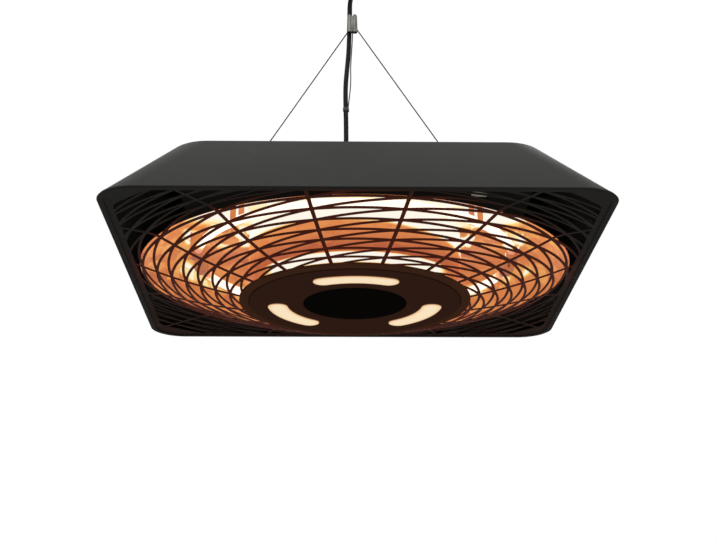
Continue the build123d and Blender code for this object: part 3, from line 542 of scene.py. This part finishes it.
coated("dark_enamel", (46, 46, 44), 0.55, 0.1, rubbing=-0.04)
grille_coat()
# Painted glow: the collar's warm brown is the lamps' glow painted onto a dark enamel.
coated("collar_enamel", (80, 50, 35), 0.55, 0.0, 700.0)
coated("canopy_enamel", (50, 50, 48), 0.5, 0.15)
bare_metal("sheet_steel", (150, 148, 144), 0.38, 220.0, 0.3)
coated("blackened_steel", (44, 40, 37), 0.6, 0.05, 500.0, 0.0001, 0.3, dim=(13, 12, 10))
bare_metal("zinc", (176, 174, 168), 0.28, 300.0, 0.2)
coated("black_plastic", (32, 32, 31), 0.5, 0.15, 1200.0, 0.00008)
coated("black_gloss", (14, 13, 11), 0.35, 0.0, 500.0, 0.00003, 0.2, -0.15)
diffuser()
printed_board()
# Painted lamplight: the reflector, the drum and the lamp brackets glow with the lamps' light, drawn from their
# place round the centre.
lit_metal("reflector_aluminium", dish_painted_light, 0.15)
quartz()
glowing_wire()
ceramic()
coated("lead_silicone", (150, 120, 90), 0.6, 0.1, 600.0)
coated("grey_plastic", (84, 84, 84), 0.5, 0.3, 1000.0)
coated("cream_plastic", (206, 198, 176), 0.5, 0.3, 1000.0)
bare_metal("brass", (196, 156, 88), 0.3)
bare_metal("nickel", (104, 105, 100), 0.4, 500.0, 0.3)
# Painted shade: the steel strands are coloured near-black for the shade they hang in.
stranded("wire_steel", (34, 34, 33))
bare_metal("ferrule_aluminium", (150, 150, 150), 0.4, 500.0)
# Partly painted highlight: the strap's mid grey mixes its black nylon with the highlight on it.
coated("tie_plastic", (58, 58, 57), 0.45, 0.2, 1200.0)
coated("cable_black", (27, 27, 26), 0.5, 0.06, 1500.0, 0.00005, 0.25)
coated("boot_rubber", (34, 34, 33), 0.6, 0.15, 900.0)
lit_metal("drum_steel", drum_painted_light, 0.05)
lit_metal("bracket_steel", dish_painted_light, 0.1)
# Painted glow: the cover's warm brown is the lamps' glow painted onto a dark cover.
coated("glow_tinted_cover_plastic", (66, 41, 32), 0.6, 0.0, 1200.0, 0.00008)
# Painted reflection: the steel tongue is drawn as a pale non-metal, its brightness standing for the light it
# reflects.
coated("pale_clip_with_painted_sheen", (168, 160, 142), 0.4, 0.3, 220.0)
# Painted shade: a darker, duller copy of the dark enamel for the pan's underside and inner faces.
coated("shaded_underside_enamel", (42, 40, 37), 0.6, 0.02)

record_slots = {row["node"]: row["material_slot"] for row in frame["record"]["subparts"]}
for node_name, node_object in frame["nodes"].items():
    node_object.data.materials.clear()
    node_object.data.materials.append(finishes[record_slots[node_name]])
# The lamp clips and holders take the reflector's painted lamplight.
for node_name in ("lamp_clips", "lamp_holders"):
    frame["nodes"][node_name].data.materials[0] = finishes["bracket_steel"]


# Making and placing pieces
def from_front(radius, angle):
    """A point at an angle from the front, growing towards the left, as seen from above."""
    turned = math.radians(-90.0 - angle)
    return radius * math.cos(turned), radius * math.sin(turned)


def keep_piece(name, bm, nodes, x=HEATER_X, finish=None, sharp=35.0, body=None, back=None, slot=None):
    """Makes a piece of a bmesh drawn in millimetres, and lets it stand for the CAD nodes that it shows.

    back is the name of a finish and a test that picks the faces that have it instead.
    """
    face_out(bm)
    if back:
        for face in bm.faces:
            face.material_index = 1 if back[1](face) else 0
    bmesh.ops.scale(bm, vec=(0.001, 0.001, 0.001), verts=bm.verts)
    bmesh.ops.translate(bm, vec=(x / 1000.0, 0.0, -CEILING / 1000.0), verts=bm.verts)
    mesh = bpy.data.meshes.new(name)
    bm.to_mesh(mesh)
    bm.free()
    mesh.shade_smooth()
    mesh.set_sharp_from_angle(angle=math.radians(sharp))
    dress(linked(name, mesh), nodes, finish, body, back[0] if back else None, slot)


def dress(piece, nodes, finish=None, body=None, back=None, slot=None):
    """Gives a piece its finish and its body, and hides the CAD nodes that it stands for."""
    slot = slot or record_slots[nodes[0]]
    for name in (finish or slot, back):
        if name:
            piece.data.materials.append(finishes[name])
    if nodes:
        body = body or frame["nodes"][nodes[0]]["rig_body"]
        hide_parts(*nodes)
    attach(piece, body)


def moved(bm, x, y, z):
    bmesh.ops.translate(bm, vec=(x, y, z), verts=bm.verts)


def face_out(bm):
    bmesh.ops.recalc_face_normals(bm, faces=bm.faces)


def turned_piece(outline, steps=96):
    """A closed outline of (radius, height) points turned once about the centre line."""
    bm = bmesh.new()
    verts = [bm.verts.new((r, 0.0, z)) for r, z in outline]
    edges = [bm.edges.new((a, b)) for a, b in zip(verts, verts[1:] + verts[:1])]
    bmesh.ops.spin(
        bm, geom=verts + edges, cent=(0, 0, 0), axis=(0, 0, 1), angle=math.tau, steps=steps, use_merge=True
    )
    bmesh.ops.remove_doubles(bm, verts=bm.verts, dist=0.001)
    bmesh.ops.dissolve_degenerate(bm, edges=bm.edges, dist=0.001)
    face_out(bm)
    return bm


def round_edges(bm, edge, segments=2, smallest=30.0, chosen=None):
    """Rounds the edges that fold more than an angle."""
    folded = [e for e in bm.edges if len(e.link_faces) == 2 and e.calc_face_angle(0.0) > math.radians(smallest)]
    folded = [e for e in folded if chosen is None or chosen(e)]
    bmesh.ops.bevel(
        bm, geom=folded, offset=edge, segments=segments, profile=0.5, affect="EDGES", material=-1,
        clamp_overlap=True,
    )


def fill_between(bm):
    """Fills the plane between outlines, leaving the inner ones open."""
    bmesh.ops.triangle_fill(bm, edges=bm.edges[:], use_beauty=True, use_dissolve=False, normal=(0, 0, -1))


def pushed(bm, faces, rise):
    """Extrudes faces by a vector and returns the new faces."""
    made = bmesh.ops.extrude_face_region(bm, geom=faces)
    verts = [g for g in made["geom"] if isinstance(g, bmesh.types.BMVert)]
    bmesh.ops.translate(bm, vec=rise, verts=verts)
    return [g for g in made["geom"] if isinstance(g, bmesh.types.BMFace)]


def rounded_square(bm, half, corner, segments):
    """A flat face with four round corners."""
    corners = bmesh.ops.create_grid(bm, x_segments=1, y_segments=1, size=half)["verts"]
    bmesh.ops.bevel(
        bm, geom=corners, offset=corner, segments=segments, profile=0.5, affect="VERTICES", material=-1
    )
    return max(bm.faces, key=lambda face: face.calc_area())


# Cords
def curve_through(name, kind, routes, radius, rounding, caps=True):
    """Cords, rods or strands on routes given in millimetres; NURBS is smooth and POLY passes every point."""
    data = bpy.data.curves.new(name, "CURVE")
    data.dimensions = "3D"
    for route in routes:
        spline = data.splines.new(kind)
        spline.points.add(len(route) - 1)
        for point, (x, y, height) in zip(spline.points, route):
            point.co = (x / 1000.0, y / 1000.0, (height - CEILING) / 1000.0, 1.0)
        if kind == "NURBS":
            spline.order_u = 3
            spline.use_endpoint_u = True
            spline.resolution_u = 12
    data.bevel_depth = radius / 1000.0
    data.bevel_resolution = rounding
    data.use_fill_caps = caps
    return linked(name, data)


CABLE_ROUTE = [
    (-8.8, 0.0, 96.0),
    (-8.9, 0.6, 135.0),
    (-8.5, 1.6, 178.0),
    (-8.4, 3.4, 216.0),
    (-9.2, 5.4, 250.0),
    (-9.3, 7.4, 278.0),
    (-7.2, 8.8, 304.0),
    (-4.9, 9.2, 330.0),
    (-3.9, 9.0, 360.0),
    (-3.6, 9.6, 392.0),
    (-3.2, 13.0, 411.0),
    (-0.6, 20.0, 428.0),
    (0.0, 20.0, 444.0),
]
TAIL_ROUTE = [
    (0.5, 2.0, 360.0),
    (0.3, 3.2, 348.0),
    (-0.6, 4.6, 334.0),
    (-1.6, 6.0, 318.0),
    (-2.2, 7.3, 303.0),
    (-1.8, 7.6, 288.0),
    (-2.8, 6.8, 270.0),
    (-4.6, 7.0, 255.0),
    (-6.1, 7.8, 241.0),
    (-7.9, 8.6, 232.0),
]

power_cable = curve_through("power_cable_sheath", "NURBS", [CABLE_ROUTE], CABLE_RADIUS, 6)
dress(power_cable, ["power_cable"])
wire_tail = curve_through("loose_wire_tail", "NURBS", [TAIL_ROUTE], WIRE_RADIUS, 6)
dress(wire_tail, ["wire_tail"])


# Housing
def housing_pan():
    """The pan: one sheet folded from roof to sloping sides and an inturned flange, with round corners."""
    bm = bmesh.new()
    rim = rounded_square(bm, RIM_HALF, CORNER, 14)
    roof = pushed(bm, [rim], (0.0, 0.0, ROOF_HEIGHT))
    lean = RIM_HALF - ROOF_HALF
    for vert in {v for face in roof for v in face.verts}:
        vert.co.x -= math.copysign(lean, vert.co.x)
        vert.co.y -= math.copysign(lean, vert.co.y)
    bottom = min(bm.faces, key=lambda face: face.calc_center_median().z)
    face_out(bm)
    bmesh.ops.inset_region(bm, faces=[bottom], thickness=FLANGE, use_even_offset=True, use_boundary=True)
    bmesh.ops.delete(bm, geom=[bottom], context="FACES_ONLY")
    round_edges(bm, 1.6, 3, 25.0)
    face_out(bm)
    bmesh.ops.solidify(bm, geom=bm.faces, thickness=WALL)

    def faces_in(face):
        return face.normal.z < -0.5 or face.calc_center_median().dot(face.normal) < 0

    # The underside and the inner faces take the painted-shade copy of the enamel.
    keep_piece("housing_pan", bm, ["housing_shell"], sharp=28.0, back=("shaded_underside_enamel", faces_in))


housing_pan()


# Grille
def dome_height(radius):
    """Height of the dome's underside at a radius, on the flat border outside it."""
    if radius >= DOME_RADIUS:
        return WALL
    return SPHERE_CENTRE - math.sqrt(SPHERE**2 - radius**2)


def slot_face(bm, tip, wide, inner_edge, outer_edge, steps=8):
    """One long three-sided slot of the swirl, as a flat face between two curved edges that meet at its tip."""
    angles = [tip + (wide - tip) * n / steps for n in range(steps + 1)]
    outline = [from_front(outer_edge(a), a) for a in angles]
    outline += [from_front(inner_edge(a), a) for a in reversed(angles)]
    face = bm.faces.new([bm.verts.new((x, y, 0.0)) for x, y in outline])
    wide_corners = [face.verts[steps], face.verts[steps + 1]]
    bmesh.ops.bevel(bm, geom=wide_corners, offset=1.1, segments=2, profile=0.5, affect="VERTICES", material=-1)


def sector_slots(bm, spoke, ring):
    """The pair of slots between two spokes and two rings, either side of the slanting line between them."""
    sector = 360.0 / SPOKES
    outer = ring + RING_PITCH
    half_spoke = math.degrees(SPOKE_WIDTH / 2.0 / (ring + RING_PITCH / 2.0))
    tip = sector * (LINE_WIDTH + 0.8) / RING_PITCH
    half = LINE_WIDTH / 2.0

    def slant(angle):
        return outer - RING_PITCH * (angle - spoke) / sector

    slot_face(bm, spoke + tip, spoke + sector - half_spoke, lambda a: slant(a) + half, lambda a: outer - half)
    slot_face(bm, spoke + sector - tip, spoke + half_spoke, lambda a: ring + half, lambda a: slant(a) - half)


def grille_slots():
    """Every slot of the swirl, trimmed to the rounded square inside the solid border."""
    bm = bmesh.new()
    for band in range(12):
        for n in range(SPOKES):
            sector_slots(bm, FIRST_SPOKE + n * 360.0 / SPOKES, FIRST_RING + band * RING_PITCH)
    cuts = [((side * SLOT_LIMIT, 0, 0), (side, 0, 0)) for side in (-1, 1)]
    cuts += [((0, side * SLOT_LIMIT, 0), (0, side, 0)) for side in (-1, 1)]
    centre = SLOT_LIMIT - SLOT_CORNER
    for sx in (-1, 1):
        for sy in (-1, 1):
            for n in range(1, 8):
                a = math.radians(90.0 * n / 8)
                out = Vector((sx * math.cos(a), sy * math.sin(a), 0.0))
                cuts.append((Vector((sx * centre, sy * centre, 0.0)) + out * SLOT_CORNER, out))
    for place, outward in cuts:
        everything = bm.verts[:] + bm.edges[:] + bm.faces[:]
        bmesh.ops.bisect_plane(
            bm, geom=everything, dist=0.0001, plane_co=place, plane_no=outward, clear_outer=True
        )
    small = [face for face in bm.faces if face.calc_area() < SMALLEST_SLOT]
    bmesh.ops.delete(bm, geom=small, context="FACES")
    return bm


def swirl_grille():
    """The pressed sheet: flat border, domed middle, and the slots left open."""
    bm = grille_slots()
    rounded_square(bm, RIM_HALF - 2.6, CORNER - 3.0, 12)
    bmesh.ops.create_circle(bm, cap_ends=True, radius=HUB_RADIUS, segments=96)
    bmesh.ops.delete(bm, geom=bm.faces[:], context="FACES_ONLY")
    fill_between(bm)
    for vert in bm.verts:
        vert.co.z = dome_height(math.hypot(vert.co.x, vert.co.y))
    face_out(bm)
    if sum(face.normal.z for face in bm.faces) > 0:
        bmesh.ops.reverse_faces(bm, faces=bm.faces)
    bmesh.ops.solidify(bm, geom=bm.faces[:], thickness=WALL)
    keep_piece("swirl_grille", bm, ["grille"], sharp=40.0)


swirl_grille()


# Reflector, drum and lamps
def reflector():
    """The polished dish: a flat floor round the drum, a curved turn and a sloping side out to its mouth."""
    outline = [(140.5, 46.0), (226.0, 46.0), (232.5, 44.2), (237.0, 41.0), (279.2, 4.0), (280.2, 3.3)]
    outline += [(280.9, 3.4), (280.0, 4.6), (238.0, 41.6), (233.0, 45.0), (226.5, 46.7), (140.5, 46.8)]
    bm = turned_piece(outline, 144)
    for vert in bm.verts:
        reach = math.hypot(vert.co.x, vert.co.y)
        vert.co.y *= 1.0 - MOUTH_NARROWING * max(0.0, reach - 150.0) / 130.0
    back = ("blackened_steel", lambda face: face.normal.z > -0.02)
    keep_piece("reflector_bowl", bm, ["reflector_dish"], sharp=60.0, back=back)


def drum():
    """The drum round the centre unit, a thin straight wall."""
    outline = [(140.0, -38.8), (140.0, 63.9), (139.2, 63.9), (139.2, -38.8)]
    back = ("blackened_steel", lambda face: face.calc_center_median().xy.dot(face.normal.xy) < 1.0)
    keep_piece("lamp_drum", turned_piece(outline, 120), ["hub_drum"], finish="drum_steel", back=back)


def lamp_tube(centre_angle):
    """A round tube bent along an arc about the heater's centre, closed at both ends."""
    bm = bmesh.new()
    verts = bmesh.ops.create_circle(bm, cap_ends=False, radius=5.4, segments=16)["verts"]
    start = math.radians(-90.0 - centre_angle - TUBE_HALF_ANGLE)
    bmesh.ops.rotate(bm, cent=(0, 0, 0), matrix=Matrix.Rotation(math.pi / 2, 3, "X"), verts=verts)
    bmesh.ops.translate(bm, vec=(LAMP_CIRCLE, 0, LAMP_HEIGHT), verts=verts)
    bmesh.ops.rotate(bm, cent=(0, 0, 0), matrix=Matrix.Rotation(start, 3, "Z"), verts=verts)
    geom = verts + list({e for v in verts for e in v.link_edges})
    bmesh.ops.spin(
        bm, geom=geom, cent=(0, 0, 0), axis=(0, 0, 1), angle=math.radians(2 * TUBE_HALF_ANGLE), steps=64,
        use_merge=False,
    )
    bmesh.ops.holes_fill(bm, edges=bm.edges[:], sides=0)
    return bm


def filament_coil(name, node, centre_angle):
    """The glowing wire wound into a long coil inside its tube."""
    turns = 130
    per_turn = 8
    count = turns * per_turn
    route = []
    for n in range(count + 1):
        angle = centre_angle + COIL_HALF_ANGLE * (2.0 * n / count - 1.0)
        wind = math.tau * n / per_turn
        x, y = from_front(LAMP_CIRCLE + COIL_RADIUS * math.cos(wind), angle)
        route.append((x + HEATER_X, y, LAMP_HEIGHT + COIL_RADIUS * math.sin(wind)))
    dress(curve_through(name, "POLY", [route], 0.4, 1, caps=False), [node])


reflector()
drum()
for side, middle in (("front", 0.0), ("back", 180.0)):
    keep_piece(f"lamp_tube_{side}", lamp_tube(middle), [f"heating_lamp_{side}"])
    filament_coil(f"lamp_coil_{side}", f"filament_{side}", middle)


# Centre unit
def light_outline(bm, turn_angle, grow=0.0, steps=8):
    """The round-ended outline of one light, as a flat face."""
    half_width = LIGHT_HALF_WIDTH + grow
    half = LIGHT_HALF_ANGLE - math.degrees(LIGHT_HALF_WIDTH / LIGHT_CIRCLE)
    sweep = [half * (n / steps - 1.0) for n in range(2 * steps + 1)]
    points = [from_front(LIGHT_CIRCLE + half_width, turn_angle + a) for a in sweep]
    points += round_end(turn_angle + half, half_width, 0.0)
    points += [from_front(LIGHT_CIRCLE - half_width, turn_angle + a) for a in reversed(sweep)]
    points += round_end(turn_angle - half, half_width, 180.0)
    return bm.faces.new([bm.verts.new((x, y, 0.0)) for x, y in points])


def round_end(angle, radius, first, steps=10):
    """Points round a light's end, clockwise from its outer or inner edge."""
    cx, cy = from_front(LIGHT_CIRCLE, angle)
    start = -90.0 - angle - first
    turns = [math.radians(start - 180.0 * n / steps) for n in range(1, steps)]
    return [(cx + radius * math.cos(a), cy + radius * math.sin(a)) for a in turns]


def disc_with_lights():
    """The flat light cover with its three round-ended openings and the hole for the cap."""
    bm = bmesh.new()
    for n in range(3):
        light_outline(bm, 120.0 * n)
    bmesh.ops.create_circle(bm, cap_ends=False, radius=DISC_RADIUS, segments=120)
    bmesh.ops.create_circle(bm, cap_ends=False, radius=CAP_HOLE, segments=96)
    bmesh.ops.delete(bm, geom=bm.faces[:], context="FACES_ONLY")
    fill_between(bm)
    bmesh.ops.dissolve_limit(bm, angle_limit=0.01, verts=bm.verts, edges=bm.edges)
    moved(bm, 0, 0, COVER_BOTTOM)
    pushed(bm, bm.faces[:], (0, 0, 2.0))
    face_out(bm)
    low = COVER_BOTTOM + 0.01
    round_edges(bm, 0.6, 2, 50.0, lambda e: all(v.co.z < low for v in e.verts))
    keep_piece("light_disc", bm, ["light_cover"], finish="glow_tinted_cover_plastic", sharp=30.0)


def light_lenses():
    """The three frosted lenses, with a mask that fades towards their edges."""
    bm = bmesh.new()
    inside = bm.verts.layers.float.new("inside")
    for n in range(3):
        face = light_outline(bm, 120.0 * n, grow=-0.3)
        for depth, level in ((2.2, 0.5), (2.8, 0.82), (3.6, 1.0)):
            bmesh.ops.inset_region(bm, faces=[face], thickness=depth, use_even_offset=True, use_boundary=True)
            for vert in face.verts:
                vert[inside] = level
    moved(bm, 0, 0, COVER_BOTTOM + 0.25)
    face_out(bm)
    bmesh.ops.solidify(bm, geom=bm.faces[:], thickness=-1.2)
    keep_piece("light_lenses", bm, ["led_diffusers"], sharp=40.0)


def collar():
    """The ring round the light disc, its outer edge rolled up to the grille."""
    outline = [(138.8, -38.9), (138.8, -40.6), (139.2, -40.87), (149.8, -40.87), (150.8, -40.5)]
    outline += [(151.2, -39.7), (151.2, -37.2), (150.5, -37.1), (150.2, -38.9), (139.1, -38.87)]
    outline += [(139.1, -29.0), (138.75, -29.0)]
    keep_piece("collar_ring", turned_piece(outline, 120), ["centre_collar"], sharp=40.0)


def cap():
    """The smoked centre cap, crowned towards its middle."""
    outline = [(0.0, -44.6), (20.0, -44.58), (44.0, -44.4), (56.0, -43.9), (63.0, -43.3), (66.4, -42.6)]
    outline += [(67.2, -41.8), (67.2, -35.0), (65.5, -35.0), (65.5, -40.6), (0.0, -40.6)]
    keep_piece("smoked_cap", turned_piece(outline, 96), ["centre_cap"], sharp=40.0)


disc_with_lights()
light_lenses()
collar()
cap()


# Hanging parts
def joined(first, *others):
    """The first mesh with the others added to it."""
    for other in others:
        mesh = bpy.data.meshes.new("joined")
        other.to_mesh(mesh)
        other.free()
        first.from_mesh(mesh)
        bpy.data.meshes.remove(mesh)
    return first


def turned_at(outline, x, y, steps=32):
    bm = turned_piece(outline, steps)
    moved(bm, x, y, 0)
    return bm


def bevelled_block(low, high, edge):
    """A block between two corners with rounded edges."""
    bm = bmesh.new()
    bmesh.ops.create_cube(bm, size=1.0)
    low, high = Vector(low), Vector(high)
    bmesh.ops.scale(bm, vec=high - low, verts=bm.verts)
    moved(bm, *(low + high) / 2.0)
    round_edges(bm, edge)
    return bm


def gripper():
    """Two tapered barrels with a web between them, a mouth below and a hole for the nipple above."""
    outline = [(0.0, 359.3), (1.8, 359.3), (1.9, 361.0), (2.6, 361.0), (2.7, 358.1), (3.4, 358.0)]
    outline += [(3.85, 358.2), (4.0, 358.6), (3.78, 366.0), (3.3, 383.8), (3.15, 384.3), (2.8, 384.5)]
    outline += [(1.8, 384.4), (1.8, 375.2), (0.0, 375.2)]
    barrels = [turned_at(outline, side * BARREL_X, 0.0) for side in (-1, 1)]
    web = bevelled_block((-BARREL_X, -2.4, 359.2), (BARREL_X, 2.4, 383.4), 0.5)
    keep_piece("gripper_barrels", joined(web, *barrels), ["gripper_body"], x=0.0)
    outline = [(0.0, 377.5), (1.7, 377.5), (1.7, 386.0), (1.5, 386.6), (1.1, 386.9), (0.0, 386.9)]
    for name, side in (("left", -1), ("right", 1)):
        nipple = turned_at(outline, side * BARREL_X, 0.0, 24)
        keep_piece(f"{name}_nipple", nipple, [f"{name}_release_nipple"], x=0.0)


def even_points(path, step):
    """Points at even steps along a bent line, each with the line's direction there."""
    points = []
    for start, end in zip(path, path[1:]):
        start, end = Vector(start), Vector(end)
        count = max(1, round((end - start).length / step))
        points += [(start.lerp(end, n / count), (end - start).normalized()) for n in range(count)]
    return points + [(Vector(path[-1]), points[-1][1])]


def twisted_wire(name, node, path, lay=8.0, step=0.9):
    """Six steel strands twisted round one another along a path in the plane of the bridle."""
    strands = []
    for strand in range(6):
        route = []
        for n, (centre, along) in enumerate(even_points(path, step)):
            turned = math.tau * (n * step / lay + strand / 6.0)
            sideways = Vector((-along.z, 0.0, along.x)) * math.sin(turned)
            route.append(centre + STRAND_LAY_RADIUS * (sideways + Vector((0.0, math.cos(turned), 0.0))))
        strands.append(route)
    dress(curve_through(name, "POLY", strands, STRAND_RADIUS, 0), [node])


def wires():
    """The two bridle wires, the short wire above the gripper and its loop over the hook."""
    for name, side, grip in (("left", -1, (-2.1, 0.0, 365.0)), ("right", 1, (5.2, 0.0, 365.0))):
        anchor = Vector((HEATER_X + side * ANCHOR_REACH, 0.0, ANCHOR_HEIGHT))
        start = anchor + (Vector(grip) - anchor).normalized() * 1.3
        twisted_wire(f"{name}_strands", f"{name}_bridle_wire", [start, grip])
    over = [math.radians(a) for a in range(-70, 251, 10)]
    loop = [(LOOP_RADIUS * math.cos(a), 0.0, LOOP_HEIGHT + LOOP_RADIUS * math.sin(a)) for a in over]
    path = [(-0.8, 0.0, 381.5), (-0.8, 0.0, 425.0), (0.8, 0.0, 426.0), *loop, (-0.8, 0.0, 426.0)]
    twisted_wire("main_strands", "suspension_wire", path, step=0.6)
    outline = [(0.0, 417.0), (1.5, 417.0), (1.9, 417.4)]
    for low in (418.8, 421.2, 423.4):
        outline += [(1.9, low), (1.6, low + 0.3), (1.6, low + 0.9), (1.9, low + 1.2)]
    outline += [(1.9, 425.6), (1.5, 426.0), (0.0, 426.0)]
    keep_piece("crimped_ferrule", turned_at(outline, 0.0, 0.0), ["loop_ferrule"], x=0.0)


def hook():
    """The open hook under the ceiling."""
    bend = [math.radians(a) for a in range(180, 361, 6)]
    route = [(0.0, -HOOK_RADIUS, 480.0)]
    route += [(0.0, HOOK_RADIUS * math.cos(a), HOOK_HEIGHT + HOOK_RADIUS * math.sin(a)) for a in bend]
    route += [(0.0, HOOK_RADIUS, HOOK_HEIGHT + 2.0)]
    dress(curve_through("open_hook", "POLY", [route], 2.0, 5), ["ceiling_hook"])


def cup_corner(radius):
    """The round corner of the canopy's section, from its bottom up to its side."""
    turns = [math.radians(a) for a in range(0, 91, 10)]
    x, z = CUP_RADIUS - CUP_EDGE, CUP_BOTTOM + CUP_EDGE
    return [(x + radius * math.sin(a), z - radius * math.cos(a)) for a in turns]


def canopy():
    """The canopy cup with its rolled edge, its two domed screws and the ribbed cable boot below it."""
    outer, inner = cup_corner(CUP_EDGE), cup_corner(CUP_EDGE - WALL)[::-1]
    outline = [(0.0, CUP_BOTTOM), *outer, (60.0, 481.7), (59.7, 482.0), (58.8, 482.0), *inner, (0.0, 458.2)]
    keep_piece("canopy_dish", turned_piece(outline, 96), ["canopy_cup"], x=0.0, sharp=40.0)
    heads = []
    for side in (-1, 1):
        head = turned_piece([(0.0, 0.0), (3.0, 0.0), (3.0, 0.5), (2.5, 1.2), (1.5, 1.65), (0.0, 1.8)], 32)
        turn = Matrix.Rotation(-side * math.pi / 2, 3, "X")
        bmesh.ops.rotate(head, cent=(0, 0, 0), matrix=turn, verts=head.verts)
        moved(head, 0, side * CUP_RADIUS, 476.0)
        heads.append(head)
    keep_piece("domed_screws", joined(*heads), ["canopy_screws"], x=0.0)
    outline = [(6.6, 435.0), (7.0, 435.4)]
    for n in range(6):
        low, r = 437.6 + 3.2 * n, 7.1 + 0.14 * n
        outline += [(r, low), (r - 0.7, low + 0.4), (r - 0.7, low + 1.0), (r, low + 1.4)]
    outline += [(8.0, 457.0), (6.8, 457.0), (6.8, 458.2), (8.6, 458.2), (8.6, 461.2), (6.4, 461.2)]
    outline += [(6.4, 447.0), (5.8, 442.0), (5.9, 439.0)]
    keep_piece("ribbed_boot", turned_at(outline, 0.0, BOOT_Y), ["cable_boot"], x=0.0)


def gland():
    """The cable gland: a six-sided body with rounded edges and a fluted dome nut."""
    hexagon = bmesh.new()
    bmesh.ops.create_circle(hexagon, cap_ends=False, radius=GLAND_WIDTH / math.sqrt(3.0), segments=6)
    bmesh.ops.create_circle(hexagon, cap_ends=False, radius=GLAND_BORE, segments=32)
    fill_between(hexagon)
    moved(hexagon, 0, 0, ROOF_HEIGHT)
    pushed(hexagon, hexagon.faces[:], (0, 0, 6.0))
    face_out(hexagon)
    round_edges(hexagon, 0.6, chosen=lambda e: all(v.co.xy.length > 9.0 for v in e.verts))
    bore = GLAND_BORE
    thread = turned_piece([(bore, 82.4), (7.6, 82.4), (8.0, 82.9), (8.0, 90.0), (bore, 90.0)], 32)
    body = joined(hexagon, thread)
    moved(body, GLAND_X, 0, 0)
    keep_piece("gland_hexagon", body, ["gland_body"], x=0.0)
    outline = [(bore, 95.4), (10.0, 95.4), (10.5, 95.9), (10.5, 102.2), (10.0, 103.6), (8.6, 104.5)]
    outline += [(6.8, 104.9), (5.8, 104.9), (bore, 104.4)]
    dome = turned_piece(outline, 144)
    for vert in dome.verts:
        reach = vert.co.xy.length
        in_flute = math.cos(18.0 * math.atan2(vert.co.y, vert.co.x)) < -0.3
        if in_flute and reach > 9.0 and vert.co.z > 95.6:
            vert.co.xy *= 1.0 - 0.55 / reach
    moved(dome, GLAND_X, 0, 0)
    keep_piece("gland_dome", dome, ["gland_nut"], x=0.0)


def tie():
    """The strap drawn tight round the cable and the wire tail, with its small ratchet head."""
    cable, tail = Vector((-9.0, 4.95)), Vector((-6.1, 7.8))
    ways = [Vector((math.cos(math.tau * n / 72), math.sin(math.tau * n / 72))) for n in range(72)]
    reaches = [max(CABLE_RADIUS, (tail - cable).dot(way) + WIRE_RADIUS) for way in ways]
    rings = [[cable + way * (reach + wall) for way, reach in zip(ways, reaches)] for wall in (0.05, 0.6)]
    bm = bmesh.new()
    inner, outer = [[bm.verts.new((p.x, p.y, TIE_BOTTOM)) for p in ring] for ring in rings]
    for n in range(72):
        m = (n + 1) % 72
        bm.faces.new((inner[n], outer[n], outer[m], inner[m]))
    pushed(bm, bm.faces[:], (0, 0, TIE_WIDTH))
    face_out(bm)
    head = bevelled_block((-9.4, 8.7, 238.2), (-6.8, 11.0, 243.8), 0.4)
    keep_piece("tie_strap", joined(bm, head), ["cable_tie"], x=0.0)


def small_metal():
    """The screws that hold the roof to the posts under it, and the tongue of a clip behind the grille."""
    heads = []
    for n in range(4):
        x, y = from_front(190.0, 45.0 + 90.0 * n)
        low = ROOF_HEIGHT
        outline = [(0.0, low), (3.6, low), (3.6, low + 0.6), (2.9, low + 1.5), (1.6, low + 2.0)]
        outline += [(0.0, low + 2.1)]
        heads.append(turned_at(outline, x, y))
    keep_piece("roof_screws", joined(*heads), [], body="heater", slot="zinc")
    tongue = bevelled_block((128.0, -279.0, 2.6), (146.0, -265.0, 3.4), 0.2)
    keep_piece("clip_tongue", tongue, [], finish="pale_clip_with_painted_sheen", body="heater", slot="sheet_steel")


gripper()
wires()
hook()
canopy()
gland()
tie()
small_metal()


# Floor, light and view settings
def stage_floor():
    bm = bmesh.new()
    bmesh.ops.create_grid(bm, x_segments=1, y_segments=1, size=14.0)
    mesh = bpy.data.meshes.new("floor")
    bm.to_mesh(mesh)
    bm.free()
    floor = linked("floor", mesh)
    floor.location = (0, 0, -3.2)
    shader = new_finish("floor_white", 0.9, 0.0, 0.1)[1]
    shader.inputs["Base Color"].default_value = (0.82, 0.82, 0.82, 1.0)
    mesh.materials.append(finishes["floor_white"])


def studio_world():
    """A white surround for the camera and for reflections, and a soft even light for the rest."""
    world = bpy.data.worlds.new("studio")
    bpy.context.scene.world = world
    world.use_nodes = True
    tree = world.node_tree
    tree.nodes.clear()
    rays = tree.nodes.new("ShaderNodeLightPath")
    seen = math_node(tree, "MAXIMUM", rays.outputs["Is Camera Ray"], rays.outputs["Is Glossy Ray"])
    seen = math_node(tree, "MAXIMUM", seen, rays.outputs["Is Transmission Ray"])
    mix = tree.nodes.new("ShaderNodeMixShader")
    feed(tree, mix.inputs[0], seen)
    for socket, strength in ((mix.inputs[1], 0.4), (mix.inputs[2], 1.0)):
        white = tree.nodes.new("ShaderNodeBackground")
        white.inputs["Color"].default_value = (1, 1, 1, 1)
        white.inputs["Strength"].default_value = strength
        feed(tree, socket, white.outputs[0])
    out = tree.nodes.new("ShaderNodeOutputWorld")
    feed(tree, out.inputs["Surface"], mix.outputs[0])


def soft_light(name, place, size, watts):
    """A square light aimed at the middle of the heater and its cable."""
    data = bpy.data.lights.new(name, "AREA")
    data.shape = "SQUARE"
    data.size = size
    data.energy = watts
    light = linked(name, data)
    light.location = place
    light.rotation_mode = "QUATERNION"
    light.rotation_quaternion = (Vector((0, 0, -0.45)) - Vector(place)).to_track_quat("-Z", "Y")


stage_floor()
studio_world()
soft_light("key", (-0.9, -2.4, 1.3), 2.0, 60.0)
soft_light("fill", (2.2, -1.6, 0.4), 1.6, 18.0)
soft_light("rear", (0.3, 2.4, 1.2), 1.8, 20.0)

bpy.context.scene.view_settings.view_transform = "Standard"
